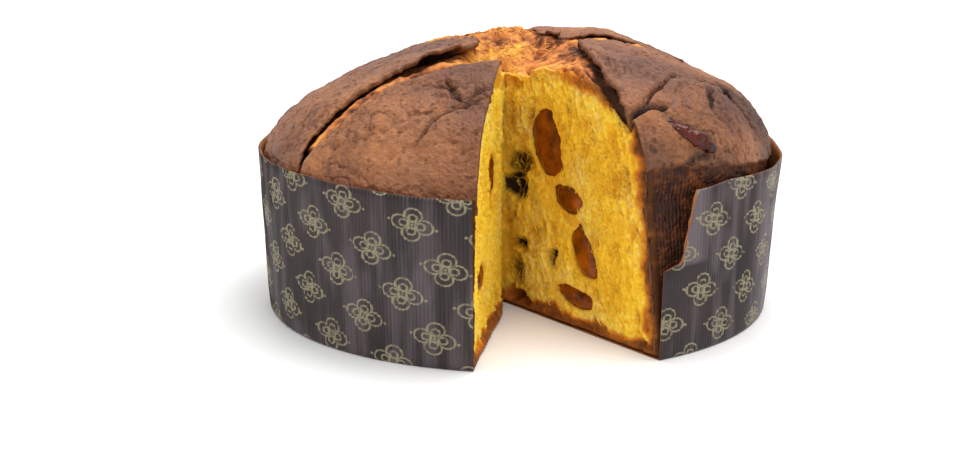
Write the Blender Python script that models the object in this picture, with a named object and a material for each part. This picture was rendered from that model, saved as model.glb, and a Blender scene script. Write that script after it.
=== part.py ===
"""A low round panettone in its paper case, with one wedge cut out.

Metres, +Z up. The origin is on the axis of the round paper case, on the surface that it stands on.
-Y is the side that the cut wedge opens to.
The loaf is one closed solid: flat base, side, domed crust with four scored flaps round a torn
middle, and the two faces of the cut. The paper case is a thin cup with the same wedge missing, torn
off beside one cut. Each piece of candied fruit sits in its own pocket.
"""
import bpy
import math
import numpy as np

# Driving sizes of the loaf
LOAF_RADIUS = 0.1008
SHOULDER_Z = 0.0575
DOME_TILT = 0.034
DOME_HEIGHT = 0.0490
BASE_Z = 0.0012
BASE_ROUND = 0.0016
SIDE_SLOPE = 0.0018

# The cut wedge: the upright edge where both faces meet, and the way each face runs from it
CUT_X, CUT_Y = -0.0032, -0.0162
RIGHT_CUT = math.radians(-52.7)
LEFT_CUT = math.radians(260.7)
LEFT_BOW = 0.0020

# The torn cross of the scoring: its middle, and for each arm its way, length, half width at the
# middle and at the end, the rise of the lips on its clockwise and other side, and its depth
CROSS_X, CROSS_Y = 0.0, -0.0135
ARMS = (
    (math.radians(27), 0.078, 0.0085, 0.0040, 0.0006, 0.0026, 0.0040),
    (math.radians(106), 0.082, 0.0175, 0.0070, 0.0006, 0.0012, 0.0012),
    (math.radians(208), 0.088, 0.0090, 0.0036, 0.0028, 0.0002, 0.0034),
    (math.radians(300), 0.074, 0.0205, 0.0040, 0.0004, 0.0022, 0.0072),
)
TEAR_EDGE = 0.0026
LIP_WIDTH = 0.0085
LIP_FADE = 0.6
DEPTH_FADE = 0.45

# The torn hollow in the middle, deepest where the two cuts meet
HOLLOW_RADIUS = 0.0185
HOLLOW_REACH = 0.032
HOLLOW_DEPTH = 0.0085

# Uneven waves of the crust, the torn bread and the crumb: height and length
CRUST_WAVE = (0.0007, 0.034)
TORN_WAVE = (0.0007, 0.017)
CRUMB_WAVE = (0.0006, 0.017)

# Swellings of the crust: place, half length, half width, turn and rise
SWELLINGS = (
    (0.066, -0.046, 0.017, 0.011, math.radians(38), 0.0036),
    (0.058, -0.074, 0.016, 0.009, math.radians(35), 0.0022),
    (-0.044, 0.014, 0.034, 0.020, math.radians(150), -0.0020),
    (-0.074, 0.004, 0.022, 0.014, math.radians(90), -0.0012),
    (0.070, 0.010, 0.032, 0.026, math.radians(80), -0.0026),
    (0.034, 0.030, 0.020, 0.014, math.radians(20), 0.0024),
    (-0.016, -0.072, 0.012, 0.008, math.radians(20), -0.0012),
    (-0.048, 0.062, 0.020, 0.014, math.radians(130), 0.0018),
    (0.010, 0.078, 0.022, 0.012, math.radians(5), 0.0014),
)

# Creases of the crust: both ends, the sideways bow of the middle, half width and depth
CREASES = (
    ((0.040, -0.073), (0.054, -0.062), 0.002, 0.0028, 0.0045),
    ((0.048, -0.060), (0.079, -0.027), 0.008, 0.0030, 0.0022),
    ((0.077, -0.022), (0.085, -0.044), 0.002, 0.0030, 0.0024),
    ((-0.028, -0.049), (-0.019, -0.068), -0.002, 0.0028, 0.0016),
    ((-0.010, -0.065), (-0.034, -0.079), -0.002, 0.0028, 0.0018),
    ((-0.075, 0.030), (-0.040, 0.078), 0.006, 0.0030, 0.0018),
    ((0.030, 0.085), (0.072, 0.050), -0.006, 0.0030, 0.0018),
)

# Where the loaf has shrunk from its paper beside the right cut
SHRINK_AT = math.radians(-62)
SHRINK_SPREAD = math.radians(15)
SHRINK = 0.0105
LEFT_SHRINK_AT = math.radians(262)
LEFT_SHRINK = 0.0050

# Swellings of the dome's shoulder: bearing, spread and how far they stand out
SHOULDER_SWELLINGS = (
    (math.radians(-55), math.radians(20), 0.0028),
    (math.radians(-6), math.radians(26), 0.0008),
    (math.radians(150), math.radians(30), 0.0006),
)
SHOULDER_BAND = 0.030
ROUND_SHARES = (0.86, 0.96)

# Paper case
CASE_RADIUS = 0.1003
CASE_HEIGHT = 0.0635
CASE_WALL = 0.0004
CASE_SPREAD = 0.0024
FLARE_AT = math.radians(-16)
FLARE_WIDTH = math.radians(15)
FLARE = 0.0022
TEAR_Z = 0.0335
TEAR_RISE = 0.0030
FREE_EDGE_LOW = math.radians(-59.0)
FREE_EDGE_HIGH = math.radians(-52.6)
RIM_DIP = 0.0016
RIM_DIP_WIDTH = 0.12
RIM_SAG = 0.0022
RIM_WAVE = 0.0006
# The base touches down at places round its edge and curls up a little between them
BASE_FEET = 6
BASE_CURL = 0.0004
# Rows of the paper: share of the radius, and height; the rim comes last
CASE_ROWS = ((0.0, 0.0), (0.5, 0.0), (0.990, 0.0), (1.0, 0.0010), (1.0, 0.0170), (1.0, 0.0330),
             (1.0, 0.0350), (1.0, 0.0370), (1.0, 0.0500))

# Candied fruit in the cut faces: face, distance from the upright edge, height, half width, half
# height, half depth, turn in the face, bend
FACE_FRUIT = (
    ("fruit_upper", "right", 0.0212, 0.0694, 0.0082, 0.0132, 0.0070, math.radians(14), 0.22),
    ("fruit_square", "right", 0.0345, 0.0496, 0.0082, 0.0048, 0.0060, math.radians(-8), 0.0),
    ("fruit_crescent", "right", 0.0440, 0.0300, 0.0056, 0.0108, 0.0060, math.radians(32), 0.40),
    ("fruit_low", "right", 0.0400, 0.0122, 0.0106, 0.0038, 0.0060, math.radians(-6), 0.0),
    ("fruit_left_high", "left", 0.0300, 0.0600, 0.0066, 0.0092, 0.0060, math.radians(-25), 0.3),
    ("fruit_left_low", "left", 0.0520, 0.0260, 0.0088, 0.0052, 0.0060, math.radians(14), 0.2),
)
FRUIT_PROUD = 0.0004
POCKET_GAP = 0.00045
CRUST_FRUIT_ENDS = ((0.0500, -0.0660, 0.0868), (0.0712, -0.0664, 0.0757))
CRUST_FRUIT_RADIUS = 0.0040

# Fineness
CRUST_COLUMNS = 100
FACE_COLUMNS = 12
BASE_SHARES = (0.0, 0.45, 0.86)
SIDE_HEIGHTS = (0.010, 0.024, 0.038, 0.050)
DOME_ROWS = 22
CASE_COLUMNS = 92
FRUIT_RINGS = 9
FRUIT_SIDES = 14


def smooth(low, high, x):
    """Rises from 0 at low to 1 at high along an S."""
    t = np.clip((x - low) / (high - low), 0.0, 1.0)
    return t * t * (3.0 - 2.0 * t)


def clear_scene():
    for old in list(bpy.data.objects):
        bpy.data.objects.remove(old, do_unlink=True)


def material(name, colour, roughness, metallic=0.0):
    made = bpy.data.materials.new(name)
    made.use_nodes = True
    shader = made.node_tree.nodes["Principled BSDF"]
    shader.inputs["Base Color"].default_value = (*colour, 1.0)
    shader.inputs["Roughness"].default_value = roughness
    shader.inputs["Metallic"].default_value = metallic
    return made


def mesh_object(name, points, faces, finish):
    mesh = bpy.data.meshes.new(name)
    mesh.from_pydata([tuple(p) for p in points], [], faces)
    mesh.materials.append(finish)
    mesh.validate()
    mesh.shade_smooth()
    made = bpy.data.objects.new(name, mesh)
    bpy.context.collection.objects.link(made)
    return made


def ripple(x, y, size):
    """Uneven waves about size long, between about -1 and 1, from a few crossed sines."""
    k = 2.0 * math.pi / size
    return (np.sin(k * (0.80 * x + 0.60 * y) + 1.3) * np.sin(k * (0.53 * x - 0.85 * y) + 0.4)
            + 0.5 * np.sin(k * 1.9 * (0.95 * y - 0.31 * x) + 2.2)
            * np.sin(k * 1.7 * (0.9 * x + 0.43 * y) + 5.1)) / 1.5


def tear(x, y):
    """Signed distance from the torn cross (below 0 inside it), with the lip and depth of its
    nearest arm."""
    gap = np.full(np.shape(x), 1.0)
    lip = np.zeros(np.shape(x))
    depth = np.zeros(np.shape(x))
    for way, length, wide, narrow, lip_clockwise, lip_other, deep in ARMS:
        along = (x - CROSS_X) * math.cos(way) + (y - CROSS_Y) * math.sin(way)
        across = -(x - CROSS_X) * math.sin(way) + (y - CROSS_Y) * math.cos(way)
        run = np.clip(along / length, 0.0, 1.0)
        half = wide + (narrow - wide) * run
        beyond = np.maximum(along - length, 0.0) + np.maximum(-along, 0.0)
        distance = np.hypot(across, beyond) - half
        nearer = distance < gap
        gap = np.where(nearer, distance, gap)
        side_lip = np.where(across > 0.0, lip_other, lip_clockwise)
        lip = np.where(nearer, side_lip * (1.0 - LIP_FADE * run), lip)
        depth = np.where(nearer, deep * (1.0 - DEPTH_FADE * run), depth)
    gap = np.minimum(gap, np.hypot(x - CROSS_X, y - CROSS_Y) - HOLLOW_RADIUS)
    return gap, lip, depth


def crease(x, y, start, end, bow, width, deep):
    """Depth of one crease: a bell across a bowed line, fading out at both ends."""
    length = math.hypot(end[0] - start[0], end[1] - start[1])
    ux, uy = (end[0] - start[0]) / length, (end[1] - start[1]) / length
    along = ((x - start[0]) * ux + (y - start[1]) * uy) / length
    across = -(x - start[0]) * uy + (y - start[1]) * ux
    middle = 4.0 * bow * along * (1.0 - along)
    fade = smooth(-0.12, 0.12, along) * smooth(-0.12, 0.12, 1.0 - along)
    return deep * fade * np.exp(-((across - middle) / width) ** 2)


def crust_rise(x, y):
    """Height of the real crust above the plain dome, over the place (x, y)."""
    rise = CRUST_WAVE[0] * ripple(x, y, CRUST_WAVE[1]) + DOME_TILT * x
    for px, py, long_half, wide_half, turn, high in SWELLINGS:
        u = (x - px) * math.cos(turn) + (y - py) * math.sin(turn)
        v = -(x - px) * math.sin(turn) + (y - py) * math.cos(turn)
        rise = rise + high * np.exp(-(u / long_half) ** 2 - (v / wide_half) ** 2)
    for start, end, bow, width, deep in CREASES:
        rise = rise - crease(x, y, start, end, bow, width, deep)
    gap, lip, depth = tear(x, y)
    inside = 1.0 - smooth(-TEAR_EDGE, TEAR_EDGE, gap)
    rise = rise + lip * (1.0 - inside) * np.exp(-(np.maximum(gap, 0.0) / LIP_WIDTH) ** 2)
    from_cut = np.hypot(x - CUT_X, y - CUT_Y)
    hollow = HOLLOW_DEPTH * (1.0 - smooth(0.0, HOLLOW_REACH, from_cut))
    rough = TORN_WAVE[0] * ripple(x, y, TORN_WAVE[1])
    return rise - inside * (depth + hollow + rough)


def profile_rows():
    """Rows from the middle of the base out, up the side and over the dome to the middle of the top:
    each has its share of the radius, its height on the plain loaf, how much it belongs to the dome,
    and how far along from the first row to the last it is."""
    rows = [(share, BASE_Z, 0.0) for share in BASE_SHARES]
    rows.append((1.0 - BASE_ROUND / LOAF_RADIUS, BASE_Z, 0.0))
    rows.append((1.0, BASE_Z + BASE_ROUND, 0.0))
    for height in SIDE_HEIGHTS:
        rows.append((1.0, height, 0.0))
    for i in range(DOME_ROWS + 1):
        share = i / DOME_ROWS
        angle = 0.5 * math.pi * share ** 0.93
        radius = math.cos(angle) if i < DOME_ROWS else 0.0
        rows.append((radius, SHOULDER_Z + DOME_HEIGHT * math.sin(angle), 1.0))
    return rows


def shoulder_swell(around, height):
    """How far the dome stands out over the plain one at its shoulder."""
    band = math.sin(math.pi * min((height - SHOULDER_Z) / SHOULDER_BAND, 1.0))
    swell = np.zeros(np.shape(around))
    for bearing, spread, out in SHOULDER_SWELLINGS:
        swell = swell + out * np.exp(-((around - bearing) / spread) ** 2)
    return band * swell


def outer_points(around):
    """The loaf's outside: one row of points for each profile row, one column for each bearing.
    A column runs straight, in plan, from the upright edge of the cut to the rim at its bearing."""
    shrink = SHRINK * np.exp(-((around - SHRINK_AT) / SHRINK_SPREAD) ** 2)
    shrink = shrink + LEFT_SHRINK * np.exp(-((around - LEFT_SHRINK_AT) / SHRINK_SPREAD) ** 2)
    points = []
    for share, height, dome in profile_rows():
        side = min(height / SHOULDER_Z, 1.0)
        radius = LOAF_RADIUS - SIDE_SLOPE * (1.0 - side)
        pull = shrink * min(height / SHOULDER_Z, 1.0) ** 1.2
        x = (1.0 - share) * CUT_X + share * (radius - pull) * np.cos(around)
        y = (1.0 - share) * CUT_Y + share * (radius - pull) * np.sin(around)
        if dome:
            reach = np.hypot(x, y) / LOAF_RADIUS
            mix = 1.0 - smooth(*ROUND_SHARES, share)
            even = share + (np.minimum(reach, 0.995) - share) * mix
            plain = SHOULDER_Z + DOME_HEIGHT * np.sqrt(np.maximum(1.0 - even ** 2, 0.0))
            lift = smooth(SHOULDER_Z, SHOULDER_Z + 0.5 * DOME_HEIGHT, height)
            out = 1.0 + shoulder_swell(around, height) / LOAF_RADIUS
            x, y = x * out, y * out
            z = plain + lift * crust_rise(x, y)
        else:
            z = np.full(np.shape(x), height)
        points.append(np.stack([x, y, z], axis=-1))
    return np.array(points)


def face_points(edge, columns, first):
    """One face of the cut, as a grid: each row runs straight from the upright edge to the outside
    point of that row. first says whether the columns start at the upright edge."""
    share = np.arange(columns) / columns
    if not first:
        share = 1.0 - (np.arange(columns) + 1) / columns
    climb = np.linspace(0.0, 1.0, len(edge)) ** 1.15
    axis_z = BASE_Z + (edge[-1, 2] - BASE_Z) * climb
    axis = np.stack([np.full(len(edge), CUT_X), np.full(len(edge), CUT_Y), axis_z], axis=-1)
    grid = axis[:, None, :] + (edge - axis)[:, None, :] * share[None, :, None]
    return grid


def cut_relief(grid, way, sign, bow):
    """Uneven swells of the crumb, square to the face, that die out at the face's edges, and the
    bow of the whole face into the loaf."""
    along = (grid[..., 0] - CUT_X) * math.cos(way) + (grid[..., 1] - CUT_Y) * math.sin(way)
    height = grid[..., 2]
    rim = smooth(0.0, 0.012, along) * smooth(0.0, 0.010, height - BASE_Z)
    columns = np.arange(grid.shape[1])
    ends = np.minimum(columns, grid.shape[1] - 1 - columns)
    rows = np.arange(grid.shape[0])
    tops = np.minimum(rows, grid.shape[0] - 1 - rows)
    rim = rim * np.minimum(ends / 2.0, 1.0)[None, :] * np.minimum(tops / 4.0, 1.0)[:, None]
    push = CRUMB_WAVE[0] * rim * ripple(along, height, CRUMB_WAVE[1])
    push = push + bow * np.sin(math.pi * np.clip(along / LOAF_RADIUS, 0.0, 1.0)) * rim
    grid[..., 0] += sign * push * -math.sin(way)
    grid[..., 1] += sign * push * math.cos(way)
    return grid


def rim_bearing(way, radius):
    """Bearing, seen from the loaf's axis, at which a face of the cut meets a circle."""
    dx, dy = math.cos(way), math.sin(way)
    toward = CUT_X * dx + CUT_Y * dy
    reach = math.sqrt(toward ** 2 + radius ** 2 - CUT_X ** 2 - CUT_Y ** 2) - toward
    bearing = math.atan2(CUT_Y + reach * dy, CUT_X + reach * dx)
    return bearing if way < 0.0 else bearing + 2.0 * math.pi


def make_loaf(finish):
    rim_right = rim_bearing(RIGHT_CUT, LOAF_RADIUS)
    rim_left = rim_bearing(LEFT_CUT, LOAF_RADIUS)
    around = np.linspace(rim_right, rim_left, CRUST_COLUMNS + 1)
    outside = outer_points(around)
    right = cut_relief(face_points(outside[:, 0], FACE_COLUMNS, True), RIGHT_CUT, 1.0, 0.0)
    left = cut_relief(face_points(outside[:, -1], FACE_COLUMNS, False), LEFT_CUT, -1.0, LEFT_BOW)
    # The left face stops one column short, as the upright edge belongs to the right face
    loop = np.concatenate([right, outside, left[:, :-1]], axis=1)
    rows, columns = loop.shape[0], loop.shape[1]
    points = [loop[0, 0]]
    for r in range(1, rows - 1):
        points.extend(loop[r])
    points.append(loop[rows - 1, 0])
    faces = []
    last = len(points) - 1
    for c in range(columns):
        d = (c + 1) % columns
        faces.append((0, 1 + d, 1 + c))
        top = 1 + (rows - 3) * columns
        faces.append((last, top + c, top + d))
    for r in range(rows - 3):
        low = 1 + r * columns
        for c in range(columns):
            d = (c + 1) % columns
            faces.append((low + c, low + d, low + columns + d, low + columns + c))
    return mesh_object("loaf", points, faces, finish)


def face_frame(face):
    """The way a cut face runs, and the way into the loaf from it."""
    way = RIGHT_CUT if face == "right" else LEFT_CUT
    turn = 1.0 if face == "right" else -1.0
    run = np.array([math.cos(way), math.sin(way), 0.0])
    into = turn * np.array([-math.sin(way), math.cos(way), 0.0])
    return run, into


def lumpy_ball():
    """Directions from the middle to the points of a ball of rings and sides, and its faces."""
    points = [(0.0, 0.0, -1.0)]
    for i in range(1, FRUIT_RINGS):
        tilt = math.pi * i / FRUIT_RINGS
        for j in range(FRUIT_SIDES):
            turn = 2.0 * math.pi * j / FRUIT_SIDES
            points.append((math.sin(tilt) * math.cos(turn), math.sin(tilt) * math.sin(turn),
                           -math.cos(tilt)))
    points.append((0.0, 0.0, 1.0))
    faces = []
    top = len(points) - 1
    for j in range(FRUIT_SIDES):
        k = (j + 1) % FRUIT_SIDES
        faces.append((0, 1 + k, 1 + j))
        ring = 1 + (FRUIT_RINGS - 2) * FRUIT_SIDES
        faces.append((top, ring + j, ring + k))
    for i in range(FRUIT_RINGS - 2):
        ring = 1 + i * FRUIT_SIDES
        for j in range(FRUIT_SIDES):
            k = (j + 1) % FRUIT_SIDES
            faces.append((ring + j, ring + k, ring + FRUIT_SIDES + k, ring + FRUIT_SIDES + j))
    return np.array(points), faces


def cutter(name, points, faces, finish):
    made = mesh_object(name, points, faces, finish)
    made.hide_render = True
    made.display_type = "WIRE"
    return made


def cut_pocket(loaf, tool):
    boolean = loaf.modifiers.new(tool.name, "BOOLEAN")
    boolean.operation = "DIFFERENCE"
    boolean.solver = "EXACT"
    boolean.object = tool


def make_face_fruit(loaf, finish):
    """Candied fruit cut through by the knife: its flat side is in the face of the cut."""
    ball, faces = lumpy_ball()
    for name, face, along, height, wide, high, deep, turn, bend in FACE_FRUIT:
        run, into = face_frame(face)
        up = np.array([0.0, 0.0, 1.0])
        centre = np.array([CUT_X, CUT_Y, 0.0]) + along * run + height * up
        lump = 1.0 + 0.07 * np.sin(3.0 * ball[:, 0] + 5.0 * ball[:, 2] + 40.0 * along)
        for grow in (0.0, POCKET_GAP):
            u = (wide * lump + grow) * ball[:, 0]
            v = (high * lump + grow) * ball[:, 2]
            w = (deep * lump + grow) * ball[:, 1]
            u = u + bend * wide * (v / high) ** 2
            across = u * math.cos(turn) - v * math.sin(turn)
            climb = u * math.sin(turn) + v * math.cos(turn)
            if grow == 0.0:
                w = np.maximum(w, -FRUIT_PROUD)
            place = (centre + across[:, None] * run + climb[:, None] * up + w[:, None] * into)
            order = faces if face == "right" else [tuple(reversed(f)) for f in faces]
            if grow == 0.0:
                mesh_object(name, place, order, finish)
            else:
                cut_pocket(loaf, cutter(name + "_pocket", place, order, finish))


def make_crust_fruit(loaf, finish):
    """A long piece of fruit that lies in a crease of the crust."""
    ball, faces = lumpy_ball()
    start, end = np.array(CRUST_FRUIT_ENDS[0]), np.array(CRUST_FRUIT_ENDS[1])
    middle = 0.5 * (start + end)
    half = 0.5 * (end - start)
    length = np.linalg.norm(half)
    run = half / length
    side = np.cross((0.0, 0.0, 1.0), run)
    side = side / np.linalg.norm(side)
    up = np.cross(run, side)
    lump = 1.0 + 0.10 * np.sin(4.0 * ball[:, 2] + 1.0)
    for grow in (0.0, POCKET_GAP):
        radius = CRUST_FRUIT_RADIUS * lump + grow
        place = (middle + (ball[:, 2] * (length + grow))[:, None] * run
                 + (ball[:, 0] * radius)[:, None] * side + (ball[:, 1] * radius)[:, None] * up)
        if grow == 0.0:
            mesh_object("fruit_crust", place, faces, finish)
        else:
            cut_pocket(loaf, cutter("fruit_crust_pocket", place, faces, finish))


def case_start(height):
    """Bearing at which the paper starts beside the right cut: at the cut low down, and further
    round above the tear, where the paper has been pulled off."""
    torn = smooth(TEAR_Z, TEAR_Z + TEAR_RISE, height)
    free = FREE_EDGE_LOW + (FREE_EDGE_HIGH - FREE_EDGE_LOW) * height / CASE_HEIGHT
    cut = rim_bearing(RIGHT_CUT, CASE_RADIUS)
    return cut + (free - cut) * torn


def case_radius(around, height):
    """The wall leans out a little towards its rim, and stands away where it flares."""
    climb = height / CASE_HEIGHT
    flare = FLARE * np.exp(-((around - FLARE_AT) / FLARE_WIDTH) ** 2)
    return CASE_RADIUS + CASE_SPREAD * climb + flare * climb ** 1.2


def rim_height(around):
    """The rim waves a little, dips at its free edge and sags where it flares."""
    dip = RIM_DIP * np.exp(-((around - FREE_EDGE_HIGH) / RIM_DIP_WIDTH) ** 2)
    sag = RIM_SAG * np.exp(-((around - FLARE_AT) / FLARE_WIDTH) ** 2)
    return CASE_HEIGHT + RIM_WAVE * np.sin(5.0 * around + 1.0) - dip - sag


def base_curl(around):
    """Height of the edge of the base: nothing at its feet, and a low wave between them."""
    return BASE_CURL * (0.5 - 0.5 * np.cos(BASE_FEET * around))


def case_skin(inner):
    """One skin of the paper, as rows of points: the outer skin, or the one set in by inner."""
    end = rim_bearing(LEFT_CUT, CASE_RADIUS)
    skin = []
    for share, height in CASE_ROWS:
        around = np.linspace(float(case_start(height)), end, CASE_COLUMNS + 1)
        wall = share >= CASE_ROWS[2][0]
        radius = case_radius(around, height) - (inner if wall else 0.0)
        floor = inner if height <= CASE_ROWS[3][1] else 0.0
        x = (1.0 - share) * CUT_X + share * radius * np.cos(around)
        y = (1.0 - share) * CUT_Y + share * radius * np.sin(around)
        curl = base_curl(around) if (share, height) == CASE_ROWS[2] else 0.0
        skin.append(np.stack([x, y, height + floor + curl + 0.0 * around], axis=-1))
    around = np.linspace(float(case_start(CASE_HEIGHT)), end, CASE_COLUMNS + 1)
    radius = case_radius(around, CASE_HEIGHT) - inner
    skin.append(np.stack([radius * np.cos(around), radius * np.sin(around), rim_height(around)], axis=-1))
    return np.array(skin)


def make_case(finish):
    skins = (case_skin(0.0), case_skin(CASE_WALL))
    rows, columns = skins[0].shape[0], skins[0].shape[1]
    points = []
    index = np.zeros((2, rows, columns), dtype=int)
    for s in range(2):
        index[s, 0, :] = len(points)
        points.append(skins[s][0, 0])
        for r in range(1, rows):
            for c in range(columns):
                index[s, r, c] = len(points)
                points.append(skins[s][r, c])
    faces = []
    for c in range(columns - 1):
        faces.append((index[0, 0, c], index[0, 1, c + 1], index[0, 1, c]))
        faces.append((index[1, 0, c], index[1, 1, c], index[1, 1, c + 1]))
        for r in range(1, rows - 1):
            faces.append((index[0, r, c], index[0, r, c + 1], index[0, r + 1, c + 1], index[0, r + 1, c]))
            faces.append((index[1, r, c], index[1, r + 1, c], index[1, r + 1, c + 1], index[1, r, c + 1]))
        faces.append((index[0, rows - 1, c], index[0, rows - 1, c + 1],
                      index[1, rows - 1, c + 1], index[1, rows - 1, c]))
    for r in range(rows - 1):
        first = (index[0, r, 0], index[0, r + 1, 0], index[1, r + 1, 0], index[1, r, 0])
        last = (index[1, r, -1], index[1, r + 1, -1], index[0, r + 1, -1], index[0, r, -1])
        faces.append(first)
        faces.append(last)
    faces = [tuple(int(i) for i in face) for face in faces]
    return mesh_object("paper_case", points, faces, finish)


def main():
    clear_scene()
    crust = material("baked_crust", (0.16, 0.075, 0.040), 0.62)
    fruit = material("candied_fruit", (0.42, 0.14, 0.03), 0.25)
    paper = material("case_paper", (0.085, 0.055, 0.062), 0.45)
    loaf = make_loaf(crust)
    make_face_fruit(loaf, fruit)
    make_crust_fruit(loaf, fruit)
    make_case(paper)


main()
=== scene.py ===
"""Looks of a low round panettone in its paper case, with one wedge cut out.

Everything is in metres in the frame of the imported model: +Z up, the case's axis at the origin, and
-Y the side that the cut wedge opens to.
"""
import math
import bpy
import numpy as np
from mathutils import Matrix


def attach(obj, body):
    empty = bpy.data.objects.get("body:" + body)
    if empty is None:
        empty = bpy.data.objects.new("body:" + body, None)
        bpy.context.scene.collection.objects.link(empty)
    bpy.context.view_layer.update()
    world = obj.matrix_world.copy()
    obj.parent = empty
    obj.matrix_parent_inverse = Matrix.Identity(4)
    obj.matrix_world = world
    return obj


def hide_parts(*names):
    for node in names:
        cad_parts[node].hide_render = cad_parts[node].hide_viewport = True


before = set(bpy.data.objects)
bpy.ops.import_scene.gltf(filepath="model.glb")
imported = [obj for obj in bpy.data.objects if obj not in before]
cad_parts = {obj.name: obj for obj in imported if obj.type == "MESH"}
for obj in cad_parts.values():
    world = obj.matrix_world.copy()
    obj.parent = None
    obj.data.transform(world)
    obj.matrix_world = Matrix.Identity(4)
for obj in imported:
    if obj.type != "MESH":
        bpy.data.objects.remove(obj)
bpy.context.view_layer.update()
BODY = "root"
UP = np.array([0.0, 0.0, 1.0])

# Sizes of the loaf, as the solids have them: the dome's tilt is its rise to the right
LOAF_RADIUS = 0.1008
SHOULDER_Z = 0.0575
DOME_TILT = 0.034
DOME_HEIGHT = 0.0490
BASE_Z = 0.0012
SIDE_SLOPE = 0.0018
CUT = np.array([-0.0032, -0.0162])
RIGHT_CUT = math.radians(-52.7)
LEFT_CUT = math.radians(260.7)
WEDGE_MIDDLE = math.radians(-77)
LEFT_BOW = 0.0020
# The crumb's upright edge is torn back a little: how far each face runs on past the knife's line, how
# far the left face draws in there and over what distance, and where the edge shows
RUN_ON = {"right": 0.0046, "left": 0.0034}
LEFT_DRAWN = 0.0029
LEFT_DRAWN_REACH = 0.018
VERTEX = CUT - 0.0040 * np.array([math.cos(RIGHT_CUT), math.sin(RIGHT_CUT)])
AWAY = np.array([-0.243, 0.970])
CROSS = np.array([0.0, -0.0135])
# For each arm of the torn cross: way, length, half width at the middle and at the end, how much wider
# it is halfway, rise of the lips on its clockwise and other side, and depth
ARMS = (
    (math.radians(27), 0.078, 0.0066, 0.0026, 0.0, 0.0004, 0.0008, 0.0012),
    (math.radians(104), 0.082, 0.0150, 0.0060, 0.0176, 0.0006, 0.0004, 0.0006),
    (math.radians(208), 0.088, 0.0088, 0.0036, 0.0, 0.0020, 0.0002, 0.0026),
    (math.radians(300), 0.074, 0.0215, 0.0055, 0.0, 0.0004, 0.0022, 0.0064),
)
WIDER_AT = 0.054
WIDER_SPREAD = 0.020
DEPTH_BLEND = 0.0060
LIP_WIDTH = 0.0085
LIP_THICK = 0.0022
BACK_LIP_THICK = 0.0013
# Thickness of a flap's edge where the knife went through it, the distance from the cross past which it
# did so on the right, and the distances over which the top of each cut face turns from torn to crust
KNIFE_EDGE = 0.0010
RIGHT_KNIFE_FROM = 0.0715
CRUST_FROM = {"right": (0.068, 0.073), "left": (0.0265, 0.0290)}
# How far a cut face stays under the crust, and how far over the shoulder its outside curve ends
UNDER_CRUST = 0.0009
CORNER_UP = 0.70 * 0.052
# Distances of the flaps' tips from the cross, how far the back ones hang and over what distances, and
# the distance at which the columns of a flap are spread evenly
FAR_TIP = 0.0240
FRONT_TIP = 0.0262
TIP_DROOP = 0.0014
DROOP_REACH = (0.022, 0.036)
SPREAD_AT = 0.0995
# Bowl in the middle of the cross, and the deeper part of it beside the upright edge
HOLLOW_RADIUS = 0.0185
HOLLOW_REACH = 0.032
HOLLOW_DEPTH = 0.0085

# Swellings of the dome: place, half length, half width, turn and height
SWELLINGS = (
    (0.066, -0.046, 0.017, 0.011, math.radians(38), 0.0036),
    (0.058, -0.074, 0.016, 0.009, math.radians(35), 0.0022),
    (0.0420, -0.0770, 0.006, 0.006, 0.0, 0.0013),
    (-0.044, 0.014, 0.034, 0.020, math.radians(150), -0.0020),
    (-0.074, 0.004, 0.022, 0.014, math.radians(90), -0.0012),
    (0.070, 0.010, 0.032, 0.026, math.radians(80), -0.0026),
    (0.034, 0.030, 0.020, 0.014, math.radians(20), 0.0024),
    (-0.016, -0.072, 0.012, 0.008, math.radians(20), -0.0012),
    (-0.048, 0.062, 0.020, 0.014, math.radians(130), 0.0018),
    (0.010, 0.078, 0.022, 0.012, math.radians(5), 0.0014),
)
# Swellings of the shoulder: bearing, spread and how far out
SHOULDER_SWELLINGS = (
    (math.radians(-55), math.radians(20), 0.0028),
    (math.radians(-6), math.radians(26), 0.0008),
    (math.radians(150), math.radians(30), 0.0006),
)
SHOULDER_BAND = 0.030
# How far the loaf has drawn in beside each cut: bearing, spread and depth
SHRINK_AT = math.radians(-62)
SHRINK_SPREAD = math.radians(15)
SHRINK = 0.0105
LEFT_SHRINK_AT = math.radians(262)
LEFT_SHRINK = 0.0050

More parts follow.
